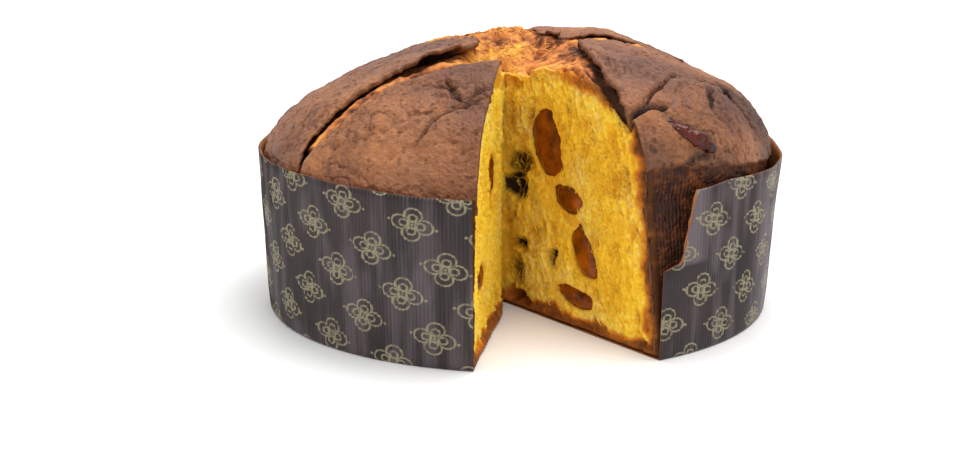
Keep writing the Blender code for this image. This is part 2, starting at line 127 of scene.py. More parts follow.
# Creases of the crust: both ends, sideways bow of the middle, half width and depth
CREASES = (
    ((0.0380, -0.0725), (0.0530, -0.0612), 0.0010, 0.0011, 0.0054),
    ((0.0437, -0.0655), (0.0590, -0.0345), -0.0007, 0.0009, 0.0027),
    ((0.0586, -0.0346), (0.0740, -0.0236), 0.0009, 0.0009, 0.0022),
    ((0.0797, -0.0195), (0.0689, -0.0485), 0.0009, 0.0010, 0.0028),
    ((0.0801, -0.0165), (0.0880, -0.0360), -0.0036, 0.0011, 0.0030),
    ((0.0700, -0.0480), (0.0783, -0.0515), -0.0030, 0.0010, 0.0018),
    ((0.0560, -0.0770), (0.0690, -0.0685), 0.0006, 0.0011, 0.0017),
    ((0.0434, -0.0730), (0.0453, -0.0820), 0.0006, 0.0007, 0.0011),
    ((0.0462, -0.0705), (0.0486, -0.0800), 0.0008, 0.0006, 0.0007),
    ((0.058, -0.052), (0.064, -0.043), 0.001, 0.0010, 0.0008),
    ((0.030, -0.030), (0.036, -0.052), 0.001, 0.0012, 0.0008),
    ((0.044, -0.020), (0.060, -0.012), 0.002, 0.0010, 0.0007),
    ((0.050, -0.078), (0.060, -0.080), 0.001, 0.0008, 0.0008),
    ((-0.027, -0.049), (-0.020, -0.066), -0.002, 0.0011, 0.0020),
    ((-0.010, -0.060), (-0.020, -0.069), -0.002, 0.0012, 0.0018),
    ((-0.010, -0.065), (-0.038, -0.080), -0.002, 0.0010, 0.0022),
    ((-0.022, -0.064), (-0.030, -0.058), 0.001, 0.0008, 0.0011),
    ((-0.018, -0.067), (-0.012, -0.075), 0.001, 0.0008, 0.0011),
    ((-0.024, -0.056), (-0.032, -0.052), 0.001, 0.0008, 0.0009),
    ((-0.050, -0.030), (-0.072, -0.040), 0.002, 0.0010, 0.0009),
    ((-0.040, -0.012), (-0.066, -0.022), -0.002, 0.0011, 0.0010),
    ((-0.039, -0.067), (-0.030, -0.070), -0.001, 0.0007, 0.0011),
    ((-0.046, -0.075), (-0.038, -0.075), 0.001, 0.0008, 0.0010),
    ((-0.056, -0.065), (-0.049, -0.071), 0.001, 0.0010, 0.0012),
    ((-0.020, -0.086), (-0.040, -0.083), -0.002, 0.0009, 0.0009),
    ((-0.075, 0.030), (-0.040, 0.078), 0.006, 0.0018, 0.0018),
    ((0.030, 0.085), (0.072, 0.050), -0.006, 0.0018, 0.0018),
    ((-0.060, 0.020), (-0.078, -0.020), 0.004, 0.0014, 0.0010),
    ((-0.010, 0.050), (0.020, 0.070), 0.003, 0.0012, 0.0011),
    ((0.060, 0.020), (0.050, 0.060), 0.003, 0.0012, 0.0010),
    ((0.0490, -0.0655), (0.0730, -0.0660), 0.000, 0.0036, 0.0016),
)

# Cavities of the torn bread under the lips, given like the creases
CAVITIES = (
    ((-0.025, -0.0275), (-0.042, -0.0345), 0.000, 0.0026, 0.0060),
    ((0.0280, -0.0450), (0.0372, -0.0705), 0.0006, 0.0030, 0.0064),
    ((0.006, -0.020), (0.004, -0.012), 0.000, 0.0012, 0.0024),
    ((-0.001, -0.014), (-0.006, -0.006), 0.001, 0.0018, 0.0030),
    ((0.012, -0.014), (0.022, -0.020), 0.001, 0.0014, 0.0009),
    ((-0.010, 0.012), (-0.002, 0.014), 0.000, 0.0012, 0.0014),
)
# Torn ridge between the right face and the hollow under its flap: distance into the loaf, width, rise
RIDGE_IN = 0.0050
RIDGE_WIDTH = 0.0040
RIDGE_RISE = 0.0024

# Browned spots of the torn bread: place, size and amount
BROWNED = (
    (0.020, -0.022, 0.009, 0.04), (0.027, -0.040, 0.010, 0.20), (0.034, -0.060, 0.010, 0.28),
    (-0.030, -0.033, 0.012, 0.34), (-0.050, -0.041, 0.014, 0.34), (-0.070, -0.048, 0.014, 0.36),
    (0.008, 0.022, 0.006, 0.16), (-0.018, 0.024, 0.005, 0.22), (-0.012, 0.004, 0.012, 0.10),
)

# The paper case: radius, height, wall, spread to the rim, and the place where its rim flares and sags
CASE_RADIUS = 0.1003
CASE_HEIGHT = 0.0635
CASE_WALL = 0.0003
CASE_SPREAD = 0.0024
FLARE_AT = math.radians(-16)
FLARE_WIDTH = math.radians(15)
FLARE = 0.0022
RIM_SAG = 0.0022
# Over this height it is torn off beside the right cut, back to a leaning free edge. Columns over the
# tear are squeezed towards that edge within a share of the way round, and the first few show tan
TEAR_Z = 0.0335
TEAR_RISE = 0.0030
FREE_EDGE_LOW = math.radians(-59.0)
FREE_EDGE_HIGH = math.radians(-52.6)
RIM_DIP = 0.0016
SQUEEZED = 0.036
TAN_COLUMNS = 3
# The bottom stands on small feet of its wavy edge
BASE_EDGE = 0.992
BASE_FEET = 6
BASE_CURL = 0.0004
PLEATS = 430
PLEAT_DEPTH = 0.00036
COLUMNS_A_PLEAT = 4
PLEATED_SHARE = 0.885

# Candied fruit in the faces: face, distance from the upright edge, height, half width, half height,
# half depth, turn in the face and bend
FACE_FRUIT = (
    ("fruit_upper", "right", 0.0212, 0.0694, 0.0082, 0.0132, 0.0070, math.radians(14), 0.22),
    ("fruit_square", "right", 0.0345, 0.0496, 0.0082, 0.0048, 0.0060, math.radians(-8), 0.0),
    ("fruit_crescent", "right", 0.0440, 0.0300, 0.0056, 0.0108, 0.0060, math.radians(32), 0.40),
    ("fruit_low", "right", 0.0400, 0.0122, 0.0106, 0.0038, 0.0060, math.radians(-6), 0.0),
    ("fruit_left_high", "left", 0.0300, 0.0600, 0.0066, 0.0092, 0.0060, math.radians(-25), 0.3),
    ("fruit_left_low", "left", 0.0520, 0.0260, 0.0088, 0.0052, 0.0060, math.radians(14), 0.2),
)
CRUST_FRUIT_ENDS = (np.array([0.0500, -0.0660, 0.0868]), np.array([0.0712, -0.0664, 0.0757]))
CRUST_FRUIT_RADIUS = 0.0041
CRUST_FRUIT_SUNK = 0.0023
# Depth of the bowl in the crumb behind each fruit
FRUIT_SEAT = 0.0034

# Hollows of the crumb, each also darkened with painted shade: face, distance from the upright edge,
# height, half width, half height, depth
CRUMB_HOLLOWS = (
    ("right", 0.0020, 0.0492, 0.0090, 0.0068, 0.0060),
    ("right", 0.0044, 0.0590, 0.0100, 0.0068, 0.0042),
    ("right", 0.0050, 0.0262, 0.0066, 0.0034, 0.0040),
    ("right", 0.0040, 0.0155, 0.0064, 0.0082, 0.0032),
    ("right", 0.0050, 0.0050, 0.0080, 0.0036, 0.0050),
    ("right", 0.0258, 0.0250, 0.0042, 0.0052, 0.0040),
    ("right", 0.0030, 0.0895, 0.0046, 0.0040, 0.0020),
    ("right", 0.0660, 0.0650, 0.0034, 0.0050, 0.0024),
    ("right", 0.0330, 0.0830, 0.0022, 0.0034, 0.0024),
    ("right", 0.0150, 0.0330, 0.0060, 0.0050, 0.0016),
    ("right", 0.0120, 0.0780, 0.0040, 0.0060, 0.0025),
    ("left", 0.0420, 0.0700, 0.0040, 0.0030, 0.0016),
    ("left", 0.0600, 0.0450, 0.0050, 0.0030, 0.0016),
)

# Relief of the crust: height of its broad dents, knobs, wrinkles, small pits and grain
CRUST_DENTS = 0.00075
CRUST_KNOBS = 0.00045
CRUST_WRINKLES = 0.00056
CRUST_PITS = 0.00028
CRUST_GRAIN = 0.00028

# Lighter (below 0) and darker places of the crust, painted light and shade partly over its own tone:
# place, size and amount
CRUST_PATCHES = (
    (0.0865, -0.0470, 0.0640, 0.012, -0.75), (-0.0700, -0.0500, 0.0680, 0.022, -0.45),
    (-0.0450, -0.0760, 0.0700, 0.020, -0.45), (-0.0880, -0.0100, 0.0700, 0.022, -0.30),
    (-0.0220, -0.0850, 0.0770, 0.014, -0.50), (0.0200, 0.0150, 0.1060, 0.014, -0.45),
    (0.0560, -0.0800, 0.0680, 0.016, 0.24), (0.0870, -0.0200, 0.0760, 0.022, 0.60),
    (0.0440, -0.0760, 0.0760, 0.009, 0.24), (0.0730, -0.0620, 0.0680, 0.008, 0.27),
    (0.0610, -0.0664, 0.0810, 0.010, 0.22),
)

# The ribbed side shows up to this much over the shoulder beside the right cut. Its ribs lie this far
# under the crust, and are this deep
RIBBED_RISE = 0.0110
RIBBED_AT = math.radians(-48)
RIBBED_SPREAD = math.radians(26)
RIB_INSET = 0.0016
RIB_DEPTH = 0.00018
# The wall of the side lies this much deeper where the right flap covers it, up to this bearing
UNDER_FLAP = 0.0034
UNDER_FLAP_TO = (math.radians(22), math.radians(26))

# Relief of the torn bread: height of its strands, lumps, grain and ridges, and of the folds near the
# right face; then how deep it runs on under the front flaps and under the back ones
TORN_STRANDS = 0.0005
TORN_LUMPS = 0.0019
TORN_GRAIN = 0.00045
TORN_RIDGES = 0.0007
TORN_FOLDS = 0.0012
UNDER_FRONT = 0.0044
UNDER_BACK = 0.0018

# Relief of the crumb: height of its swells, strands, grain and threads, then size and depth of its
# small, middle and large pores, and the depth at which the painted shade of a hollow is full
CRUMB_SWELL = 0.0004
CRUMB_STRANDS = 0.00050
CRUMB_GRAIN = 0.00025
CRUMB_THREADS = 0.00042
SMALL_PORES = (0.00125, 0.00055)
MIDDLE_PORES = (0.0026, 0.0012)
LARGE_PORES = (0.0062, 0.0022)
DARK_DEPTH = 0.0075

# Print of the paper: turn of its rows, place of one flower, step along a row, height of a row, how
# far out the four loops sit, their radius and line; then the small rings inside them and the dots,
# each with place and size
PRINT_TURN = math.radians(10.0)
PRINT_AT = (-0.0745, 0.0219)
PRINT_STEP = 0.0290
PRINT_ROW = 0.0132
LOOP_OUT = 0.00345
LOOP_RADIUS = 0.00250
LOOP_LINE = 0.00044
LOOP_STRETCH = 0.76
PRINT_CURLS = ((0.0025, 0.0, 0.0012), (0.0, 0.0025, 0.0012))
PRINT_DOTS = ((0.0, 0.0, 0.0005), (0.0070, 0.0, 0.0006))

# Camera of the photograph: pitch, distance and aim, with a picture 980 by 450 pixels. Then the point
# that the lights look at
PHOTO_WIDTH = 980
FOCAL_PIXELS = 1704
CAMERA_PITCH = math.radians(14.32)
CAMERA_DISTANCE = 0.70
CAMERA_X = -0.0109
CAMERA_RISE = 0.0277
LIGHT_AIM = np.array([0.0, 0.0, 0.05])


# Noise and small helpers

def smooth(low, high, x):
    """Rises from 0 at low to 1 at high along an S."""
    t = np.clip((x - low) / (high - low), 0.0, 1.0)
    return t * t * (3.0 - 2.0 * t)


def hashed(ix, iy, iz, seed):
    """A repeatable number from 0 to 1 for each whole-number cell, by mixing its bits."""
    mask = np.int64(0x7FFFFFFF)
    n = (ix * 73856093) ^ (iy * 19349663) ^ (iz * 83492791) ^ np.int64(seed * 374761393 + 12345)
    n = (n & mask) * 668265263
    n = (n ^ (n >> 15)) & mask
    n = n * 374761393
    n = (n ^ (n >> 13)) & mask
    n = n * 1274126177
    return ((n ^ (n >> 16)) & np.int64(0xFFFFFF)) / float(0x1000000)


def noise(x, y, z, size, seed=0):
    """Smooth noise from -1 to 1: numbers at the corners of cubes of that size, blended by an S."""
    gx, gy, gz = x / size, y / size, z / size
    cx, cy, cz = (np.floor(g).astype(np.int64) for g in (gx, gy, gz))
    fx, fy, fz = gx - cx, gy - cy, gz - cz
    fx, fy, fz = (f * f * f * (f * (f * 6 - 15) + 10) for f in (fx, fy, fz))
    total = 0.0
    for dx in (0, 1):
        wx = fx if dx else 1 - fx
        for dy in (0, 1):
            wy = fy if dy else 1 - fy
            for dz in (0, 1):
                wz = fz if dz else 1 - fz
                total = total + wx * wy * wz * hashed(cx + dx, cy + dy, cz + dz, seed)
    return 2.0 * total - 1.0


def rough(x, y, z, size, octaves, seed=0):
    """Noise of one size plus noise of half the size at half the height, and so on."""
    total, share = 0.0, 0.0
    for i in range(octaves):
        total = total + 0.5 ** i * noise(x, y, z, size / 2 ** i, seed + 17 * i)
        share += 0.5 ** i
    return total / share


def pores(x, y, size, seed):
    """Scattered round holes, one to a cell: 0 outside, up to 1 in the middle, each its own size."""
    gx, gy = x / size, y / size
    cx, cy = np.floor(gx).astype(np.int64), np.floor(gy).astype(np.int64)
    depth = np.zeros(np.shape(gx))
    for i in (-1, 0, 1):
        for j in (-1, 0, 1):
            px = cx + i + hashed(cx + i, cy + j, 0, seed)
            py = cy + j + hashed(cx + i, cy + j, 1, seed)
            radius = 0.25 + 0.55 * hashed(cx + i, cy + j, 2, seed)
            near = np.hypot(gx - px, gy - py) / radius
            depth = np.maximum(depth, radius * (1.0 - smooth(0.35, 1.0, near)))
    return depth / 0.8


def ripple(x, y, size):
    """Uneven waves about size long, from a few crossed sines, as the solids have them."""
    k = 2.0 * math.pi / size
    return (np.sin(k * (0.80 * x + 0.60 * y) + 1.3) * np.sin(k * (0.53 * x - 0.85 * y) + 0.4)
            + 0.5 * np.sin(k * 1.9 * (0.95 * y - 0.31 * x) + 2.2)
            * np.sin(k * 1.7 * (0.9 * x + 0.43 * y) + 5.1)) / 1.5


def unit(v):
    """The same vectors, each divided by its length."""
    return v / np.maximum(np.linalg.norm(v, axis=-1, keepdims=True), 1e-12)


def grid_normals(grid):
    """Normal at each point of a grid: the way along its row crossed with the way up its column."""
    along = np.gradient(grid, axis=1)
    up = np.gradient(grid, axis=0)
    return unit(np.cross(along, up))


# Meshes from grids

def grid_quads(rows, columns, start=0):
    """Four corners of each square of a grid of points, counted row by row from start."""
    first = start + np.arange(rows - 1)[:, None] * columns + np.arange(columns - 1)[None, :]
    return np.stack([first, first + 1, first + columns + 1, first + columns], -1).reshape(-1, 4)


def border(rows, columns):
    """Indices round the edge of a grid: first row, last column, last row back, first column down."""
    index = np.arange(rows * columns).reshape(rows, columns)
    return np.concatenate([index[0, :-1], index[:-1, -1], index[-1, :0:-1], index[:0:-1, 0]])


def around_mean(values, reach):
    """Each row of a closed loop of vectors averaged with the rows up to reach away."""
    return sum(np.roll(values, k, axis=0) for k in range(-reach, reach + 1)) / (2 * reach + 1)


def mesh_piece(name, points, quads, tris, finish, marks=None, replaces=()):
    """Puts arrays of points, four-sided and three-sided faces into a mesh that rides on the body."""
    mesh = bpy.data.meshes.new(name)
    corners = np.concatenate([np.ravel(quads), np.ravel(tris)]).astype(np.int32)
    sides = np.concatenate([np.full(len(quads), 4), np.full(len(tris), 3)]).astype(np.int32)
    starts = np.concatenate([[0], np.cumsum(sides)[:-1]]).astype(np.int32)
    mesh.vertices.add(len(points))
    mesh.vertices.foreach_set("co", np.ravel(points).astype(np.float32))
    mesh.loops.add(len(corners))
    mesh.loops.foreach_set("vertex_index", corners)
    mesh.polygons.add(len(sides))
    mesh.polygons.foreach_set("loop_start", starts)
    mesh.polygons.foreach_set("use_smooth", np.ones(len(sides), dtype=bool))
    mesh.update(calc_edges=True)
    for mark, values in (marks or {}).items():
        attribute = mesh.attributes.new(mark, "FLOAT", "POINT")
        attribute.data.foreach_set("value", np.ravel(values).astype(np.float32))
    mesh.materials.append(finish)
    piece = bpy.data.objects.new(name, mesh)
    bpy.context.scene.collection.objects.link(piece)
    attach(piece, BODY)
    if replaces:
        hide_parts(*replaces)
    return piece


def capped(grid, rings, centre, marks, ring_marks):
    """A grid closed into a body: rings of points carry its border round and under, and a fan from
    the last ring meets in one point. Each mark is continued over the rings from ring_marks."""
    rows, columns = grid.shape[:2]
    edge = border(rows, columns)
    points = [grid.reshape(-1, 3)] + [np.asarray(r) for r in rings] + [np.reshape(centre, (1, 3))]
    quads = [grid_quads(rows, columns)]
    before = edge
    start = rows * columns
    count = len(edge)
    for _ in rings:
        ring = start + np.arange(count)
        quads.append(np.stack([np.roll(before, -1), before, ring, np.roll(ring, -1)], -1))
        before = ring
        start += count
    fan = np.stack([np.roll(before, -1), before, np.full(count, start)], -1)
    values = {}
    for mark, field in marks.items():
        field = np.ravel(field)
        parts = [field]
        for value in ring_marks[mark]:
            parts.append(np.full(count, value) if np.ndim(value) == 0 else value)
        values[mark] = np.concatenate(parts + [[parts[-1][0]]])
    return np.concatenate(points), np.concatenate(quads), fan, values


# Form of the loaf

def ray_to_rim(centre, bearing, radius):
    """Distance from centre, along a bearing, to the circle of that radius round the axis."""
    dx, dy = np.cos(bearing), np.sin(bearing)
    toward = centre[0] * dx + centre[1] * dy
    return np.sqrt(toward ** 2 + radius ** 2 - centre[0] ** 2 - centre[1] ** 2) - toward


def rim_bearing(way, radius):
    """Bearing, seen from the axis, at which a face of the cut meets a circle."""
    reach = ray_to_rim(CUT, way, radius)
    bearing = math.atan2(CUT[1] + reach * math.sin(way), CUT[0] + reach * math.cos(way))
    return bearing if way < 0.0 else bearing + 2.0 * math.pi


def turned(x, y):
    """Bearing from the axis, counted from the middle of the wedge so that it has no jump."""
    bearing = np.arctan2(y, x)
    return np.where(bearing < WEDGE_MIDDLE, bearing + 2.0 * math.pi, bearing)


def shrink(bearing):
    """How far the loaf has drawn in beside each cut: a bell round each bearing."""
    right = SHRINK * np.exp(-((bearing - SHRINK_AT) / SHRINK_SPREAD) ** 2)
    left = LEFT_SHRINK * np.exp(-((bearing - LEFT_SHRINK_AT) / SHRINK_SPREAD) ** 2)
    return right + left


def shoulder_swell(bearing, height):
    """How far the dome stands out over the plain one at its shoulder."""
    band = np.sin(math.pi * np.clip((height - SHOULDER_Z) / SHOULDER_BAND, 0.0, 1.0))
    swell = 0.0
    for at, spread, out in SHOULDER_SWELLINGS:
        swell = swell + out * np.exp(-((bearing - at) / spread) ** 2)
    return band * swell


def arm_half(way, length, wide, narrow, wider, along):
    """Half width of a torn arm: narrows evenly to its end with a bell on it halfway, then closes to a
    hair line."""
    run = np.clip(along / length, 0.0, 1.0)
    end = 1.0 - smooth(length - 0.004, length + 0.010, along)
    wide = wide + wider * np.exp(-((along - WIDER_AT) / WIDER_SPREAD) ** 2)
    jag = 0.0012 * noise(along, along * 0, along * 0 + way, 0.0060, 5)
    jag = jag + 0.0006 * noise(along, along * 0, along * 0 + way, 0.0022, 6)
    return (wide + (narrow - wide) * run + jag * (1.0 - 0.3 * run)) * end + 0.00012


def tear(x, y):
    """Signed distance from the torn cross and the bowl in its middle (below 0 inside), with the lip of
    its nearest arm, and a depth blended from all the arms, the nearest most."""
    gap = np.full(np.shape(x), 1.0)
    lip, depth, weight = (np.zeros(np.shape(x)) for _ in range(3))
    for way, length, wide, narrow, wider, lip_clockwise, lip_other, deep in ARMS:
        along = (x - CROSS[0]) * math.cos(way) + (y - CROSS[1]) * math.sin(way)
        across = -(x - CROSS[0]) * math.sin(way) + (y - CROSS[1]) * math.cos(way)
        run = np.clip(along / length, 0.0, 1.0)
        half = wide + (narrow - wide) * run
        half = half + wider * np.exp(-((along - WIDER_AT) / WIDER_SPREAD) ** 2)
        beyond = np.maximum(along - length, 0.0) + np.maximum(-along, 0.0)
        distance = np.hypot(across, beyond) - half
        nearer = distance < gap
        gap = np.where(nearer, distance, gap)
        side_lip = np.where(across > 0.0, lip_other, lip_clockwise)
        lip = np.where(nearer, side_lip * (1.0 - 0.6 * run), lip)
        share = np.exp(-np.clip(distance, -0.03, 0.06) / DEPTH_BLEND)
        depth = depth + share * deep * (1.0 - 0.45 * run)
        weight = weight + share
    gap = np.minimum(gap, np.hypot(x - CROSS[0], y - CROSS[1]) - HOLLOW_RADIUS)
    return gap, lip, depth / weight


def crease(x, y, start, end, bow, width, deep):
    """Depth of one crease: a bell across a bowed line, fading out at both ends."""
    length = math.hypot(end[0] - start[0], end[1] - start[1])
    ux, uy = (end[0] - start[0]) / length, (end[1] - start[1]) / length
    along = ((x - start[0]) * ux + (y - start[1]) * uy) / length
    across = -(x - start[0]) * uy + (y - start[1]) * ux
    middle = 4.0 * bow * along * (1.0 - along)
    fade = smooth(-0.12, 0.12, along) * smooth(-0.12, 0.12, 1.0 - along)
    return deep * fade * np.exp(-((across - middle) / width) ** 2)


def smooth_rise(x, y):
    """Height of the crust over the plain dome, without creases, lips or the tear."""
    rise = 0.0007 * ripple(x, y, 0.034) + DOME_TILT * x
    for px, py, long_half, wide_half, turn, high in SWELLINGS:
        u = (x - px) * math.cos(turn) + (y - py) * math.sin(turn)
        v = -(x - px) * math.sin(turn) + (y - py) * math.cos(turn)
        rise = rise + high * np.exp(-(u / long_half) ** 2 - (v / wide_half) ** 2)
    return rise


def creases(x, y):
    """Depth of all the creases together, over lines that wander a little."""
    wx = x + 0.0012 * noise(x, y, x * 0, 0.008, 41)
    wy = y + 0.0012 * noise(x, y, x * 0, 0.008, 43)
    total = 0.0
    for start, end, bow, width, deep in CREASES:
        total = total + crease(wx, wy, start, end, bow, width, deep)
    return total


def plain_top(x, y):
    """Places a plain point of the round plan on the dome: drawn in beside the cuts, swollen at the
    shoulder, and lifted to the ellipse over the shoulder."""
    reach = np.hypot(x, y) / LOAF_RADIUS
    bearing = turned(x, y)
    drawn = 1.0 - shrink(bearing) / LOAF_RADIUS
    even = reach * (1.0 + (drawn - 1.0) * (1.0 - smooth(0.86, 0.96, reach)))
    z = SHOULDER_Z + DOME_HEIGHT * np.sqrt(np.clip(1.0 - even ** 2, 0.0, 1.0))
    out = drawn * (1.0 + shoulder_swell(bearing, z) / LOAF_RADIUS)
    return x * out, y * out, z


def lift(z):
    """Share of the crust's own relief that applies at a height: none at the shoulder."""
    return smooth(SHOULDER_Z, SHOULDER_Z + 0.5 * DOME_HEIGHT, z)


def side_point(bearing, z, inset=0.0):
    """A point of the loaf's side: radius grows a little with height and draws in beside the cuts."""
    climb = np.clip(z / SHOULDER_Z, 0.0, 1.0)
    radius = LOAF_RADIUS - SIDE_SLOPE * (1.0 - climb) - shrink(bearing) * climb ** 1.2 - inset
    return np.stack([radius * np.cos(bearing), radius * np.sin(bearing), z + 0.0 * bearing], -1)


def face_frame(face):
    """The way a cut face runs, and the way into the loaf from it."""
    way = RIGHT_CUT if face == "right" else LEFT_CUT
    turn = 1.0 if face == "right" else -1.0
    run = np.array([math.cos(way), math.sin(way), 0.0])
    into = turn * np.array([-math.sin(way), math.cos(way), 0.0])
    return run, into


def face_bow(face, along):
    """How far a cut face is bowed into the loaf: half a wave along it, on the left face only."""
    bow = LEFT_BOW if face == "left" else 0.0
    return bow * np.sin(math.pi * np.clip(along / LOAF_RADIUS, 0.0, 1.0))


def torn_roughness(px, py, z):
    """Strands that run away from the cut, lumps, ridges and grain of the torn bread."""
    from_cut = np.hypot(px - CUT[0], py - CUT[1])
    spread = np.arctan2(py - CUT[1], px - CUT[0])
    streak = noise(spread * 0.030, from_cut, z, 0.0022, 21)
    fibre = noise(px * 0.8 + py * 0.6, (py * 0.8 - px * 0.6) * 0.4, z, 0.0012, 22)
    strand = 0.5 * streak + 0.5 * fibre
    lumps = rough(px, py, z, 0.0070, 2, 23)
    ridged = 1.0 - np.abs(rough(px, py, z, 0.0042, 2, 25)) * 2.6
    grain = rough(px, py, z, 0.0022, 2, 24)
    return strand, lumps, ridged, grain


def torn_top(x, y):
    """Height of the torn bread: the smooth dome less the depth of the tear, with strands and lumps, a
    folded ridge near the right face, and caves under the lips. Returns the point, and how baked it is
    from 0 to 1, which also carries painted shade darkening the caves."""
    px, py, z = plain_top(x, y)
    gap, _, depth = tear(px, py)
    inside = 1.0 - smooth(-0.0030, 0.0022, gap)
    room = 0.35 + 0.65 * smooth(0.0, 0.0090, -gap)
    from_cut = np.hypot(px - CUT[0], py - CUT[1])
    hollow = HOLLOW_DEPTH * (1.0 - smooth(0.0, HOLLOW_REACH, from_cut))
    under = UNDER_FRONT - (UNDER_FRONT - UNDER_BACK) * smooth(-0.012, 0.008, py)
    under = (under + creases(px, py)) * (1.0 - inside)
    cave = sum(crease(px, py, *cavity) for cavity in CAVITIES)
    run, into = face_frame("right")
    along = (px - CUT[0]) * run[0] + (py - CUT[1]) * run[1]
    deep_in = (px - CUT[0]) * into[0] + (py - CUT[1]) * into[1]
    near_face = smooth(-0.004, 0.002, deep_in) * (1.0 - smooth(0.010, 0.020, deep_in))
    near_face = near_face * smooth(0.010, 0.030, along)
    ridge = np.exp(-((deep_in - RIDGE_IN) / RIDGE_WIDTH) ** 2) * smooth(0.022, 0.036, along)
    folds = 1.0 - np.abs(rough(along * 0.45, deep_in * 1.5, z, 0.0030, 2, 26)) * 2.4
    strand, lumps, ridged, grain = torn_roughness(px, py, z)
    relief = TORN_STRANDS * strand + TORN_LUMPS * lumps + TORN_GRAIN * grain + TORN_RIDGES * ridged
    relief = room * relief * (1.0 - 0.5 * near_face) + near_face * TORN_FOLDS * folds + RIDGE_RISE * ridge
    dig = inside * (depth + hollow) + under + cave - relief * (0.35 + 0.65 * inside)
    top = z + lift(z) * (smooth_rise(px, py) - dig)
    # The cave term is painted shade, darker brown in the caves under the lips
    baked = 0.52 - 0.36 * lumps + 0.28 * strand - 0.24 * ridged + 0.75 * smooth(0.0006, 0.0045, cave)
    baked = baked + 0.45 * (1.0 - inside) + near_face * (0.20 - 0.40 * folds) + 0.06 * (1.0 - room)
    edge_light = (1.0 - smooth(0.0005, 0.0060, deep_in)) * (1.0 - smooth(0.022, 0.042, along))
    baked = baked - 0.24 * np.exp(-(from_cut / 0.016) ** 2) - 0.24 * edge_light
    for bx, by, size, amount in BROWNED:
        baked = baked + amount * np.exp(-((px - bx) ** 2 + (py - by) ** 2) / size ** 2)
    return np.stack([px, py, top], -1), np.clip(baked, 0.0, 1.0)


# Shader helpers

class Sock:
    """A socket that can be added, taken away, multiplied, or turned round in 1 - mask."""

    def __init__(self, made, socket):
        self.made = made
        self.socket = socket

    def do(self, operation, *others):
        """Adds a Math node on this socket and the others."""
        return self.made.node("ShaderNodeMath", {"operation": operation}, [self, *others])

    def __add__(self, other):
        return self.do("ADD", other)

    def __mul__(self, other):
        return self.do("MULTIPLY", other)

    def __sub__(self, other):
        return self.do("SUBTRACT", other)

    def __rsub__(self, other):
        return self.made.node("ShaderNodeMath", {"operation": "SUBTRACT"}, [other, self])

    def __abs__(self):
        return self.do("ABSOLUTE")

    __radd__ = __add__
    __rmul__ = __mul__

    def clip(self):
        """Keeps the value from 0 to 1."""
        return self.made.node("ShaderNodeClamp", {}, [self])

    def step(self, low, high):
        """Goes from 0 at low to 1 at high along an S, also where low is the larger."""
        settings = {"interpolation_type": "SMOOTHSTEP"}
        return self.made.node("ShaderNodeMapRange", settings, {0: self, 1: low, 2: high, 3: 0.0, 4: 1.0})

    def wrap(self, half):
        """Brings a value into the stretch from -half to half by whole steps of twice that."""
        return self.do("WRAP", half, -half)


class Finish:
    """A material with a Principled shader, and short ways to make its nodes."""

    def __init__(self, name, roughness, **fixed):
        self.material = bpy.data.materials.new(name)
        self.material.use_nodes = True
        self.tree = self.material.node_tree
        self.shader = self.tree.nodes["Principled BSDF"]
        self.shader.inputs["Roughness"].default_value = roughness
        for socket, value in fixed.items():
            self.shader.inputs[socket.replace("_", " ")].default_value = value

    def node(self, kind, settings, sockets, output=0):
        """Makes a node: settings first, then the values or links of its sockets."""
        made = self.tree.nodes.new(kind)
        for setting, value in settings.items():
            if setting == "stops":
                ramp = made.color_ramp
                while len(ramp.elements) < len(value):
                    ramp.elements.new(0.5)
                for element, (place, colour) in zip(ramp.elements, value):
                    element.position = place
                    element.color = (*colour, 1.0)
            else:
                setattr(made, setting, value)
        pairs = sockets.items() if isinstance(sockets, dict) else enumerate(sockets)
        for key, value in pairs:
            if isinstance(value, Sock):
                self.tree.links.new(value.socket, made.inputs[key])
            else:
                made.inputs[key].default_value = value
        return Sock(self, made.outputs[output])

    def place(self):
        """Object coordinates, in metres."""
        return self.node("ShaderNodeTexCoord", {}, {}, "Object")

    def mark(self, name):
        """A value that the piece's mesh carries at each point."""
        return self.node("ShaderNodeAttribute", {"attribute_name": name}, {}, "Fac")

    def noise(self, scale, detail=3.0, stretch=None):
        """Soft noise, with its axes scaled by stretch."""
        at = self.place()
        if stretch:
            at = self.node("ShaderNodeVectorMath", {"operation": "MULTIPLY"}, [at, stretch])
        return self.node("ShaderNodeTexNoise", {}, {"Vector": at, "Scale": scale, "Detail": detail})

    def spots(self, scale):
        """Distance to the nearest of scattered points."""
        return self.node("ShaderNodeTexVoronoi", {}, {"Vector": self.place(), "Scale": scale}, "Distance")

    def mix(self, share, first, second):
        """A colour between two, the second where share is 1."""
        first = first if isinstance(first, Sock) else (*first, 1.0)
        second = second if isinstance(second, Sock) else (*second, 1.0)
        return self.node("ShaderNodeMix", {"data_type": "RGBA"}, {0: share, 6: first, 7: second}, 2)

    def ramp(self, share, *stops):
        """A colour read from stops, each a place and a colour."""
        return self.node("ShaderNodeValToRGB", {"stops": stops}, [share])

    def feed(self, socket, value):
        """Links a value to a socket of the shader."""
        self.tree.links.new(value.socket, self.shader.inputs[socket])

    def bump(self, height, strength, distance):
        """Relief finer than the mesh."""
        self.feed("Normal", self.node("ShaderNodeBump", {}, {"Strength": strength, "Distance": distance,
                                                             "Height": height}, "Normal"))


def tone(red, green, blue):
    """A linear colour from its 0 to 255 screen values."""
    def line(v):
        v = v / 255.0
        return v / 12.92 if v <= 0.04045 else ((v + 0.055) / 1.055) ** 2.4
    return (line(red), line(green), line(blue))


# Finishes

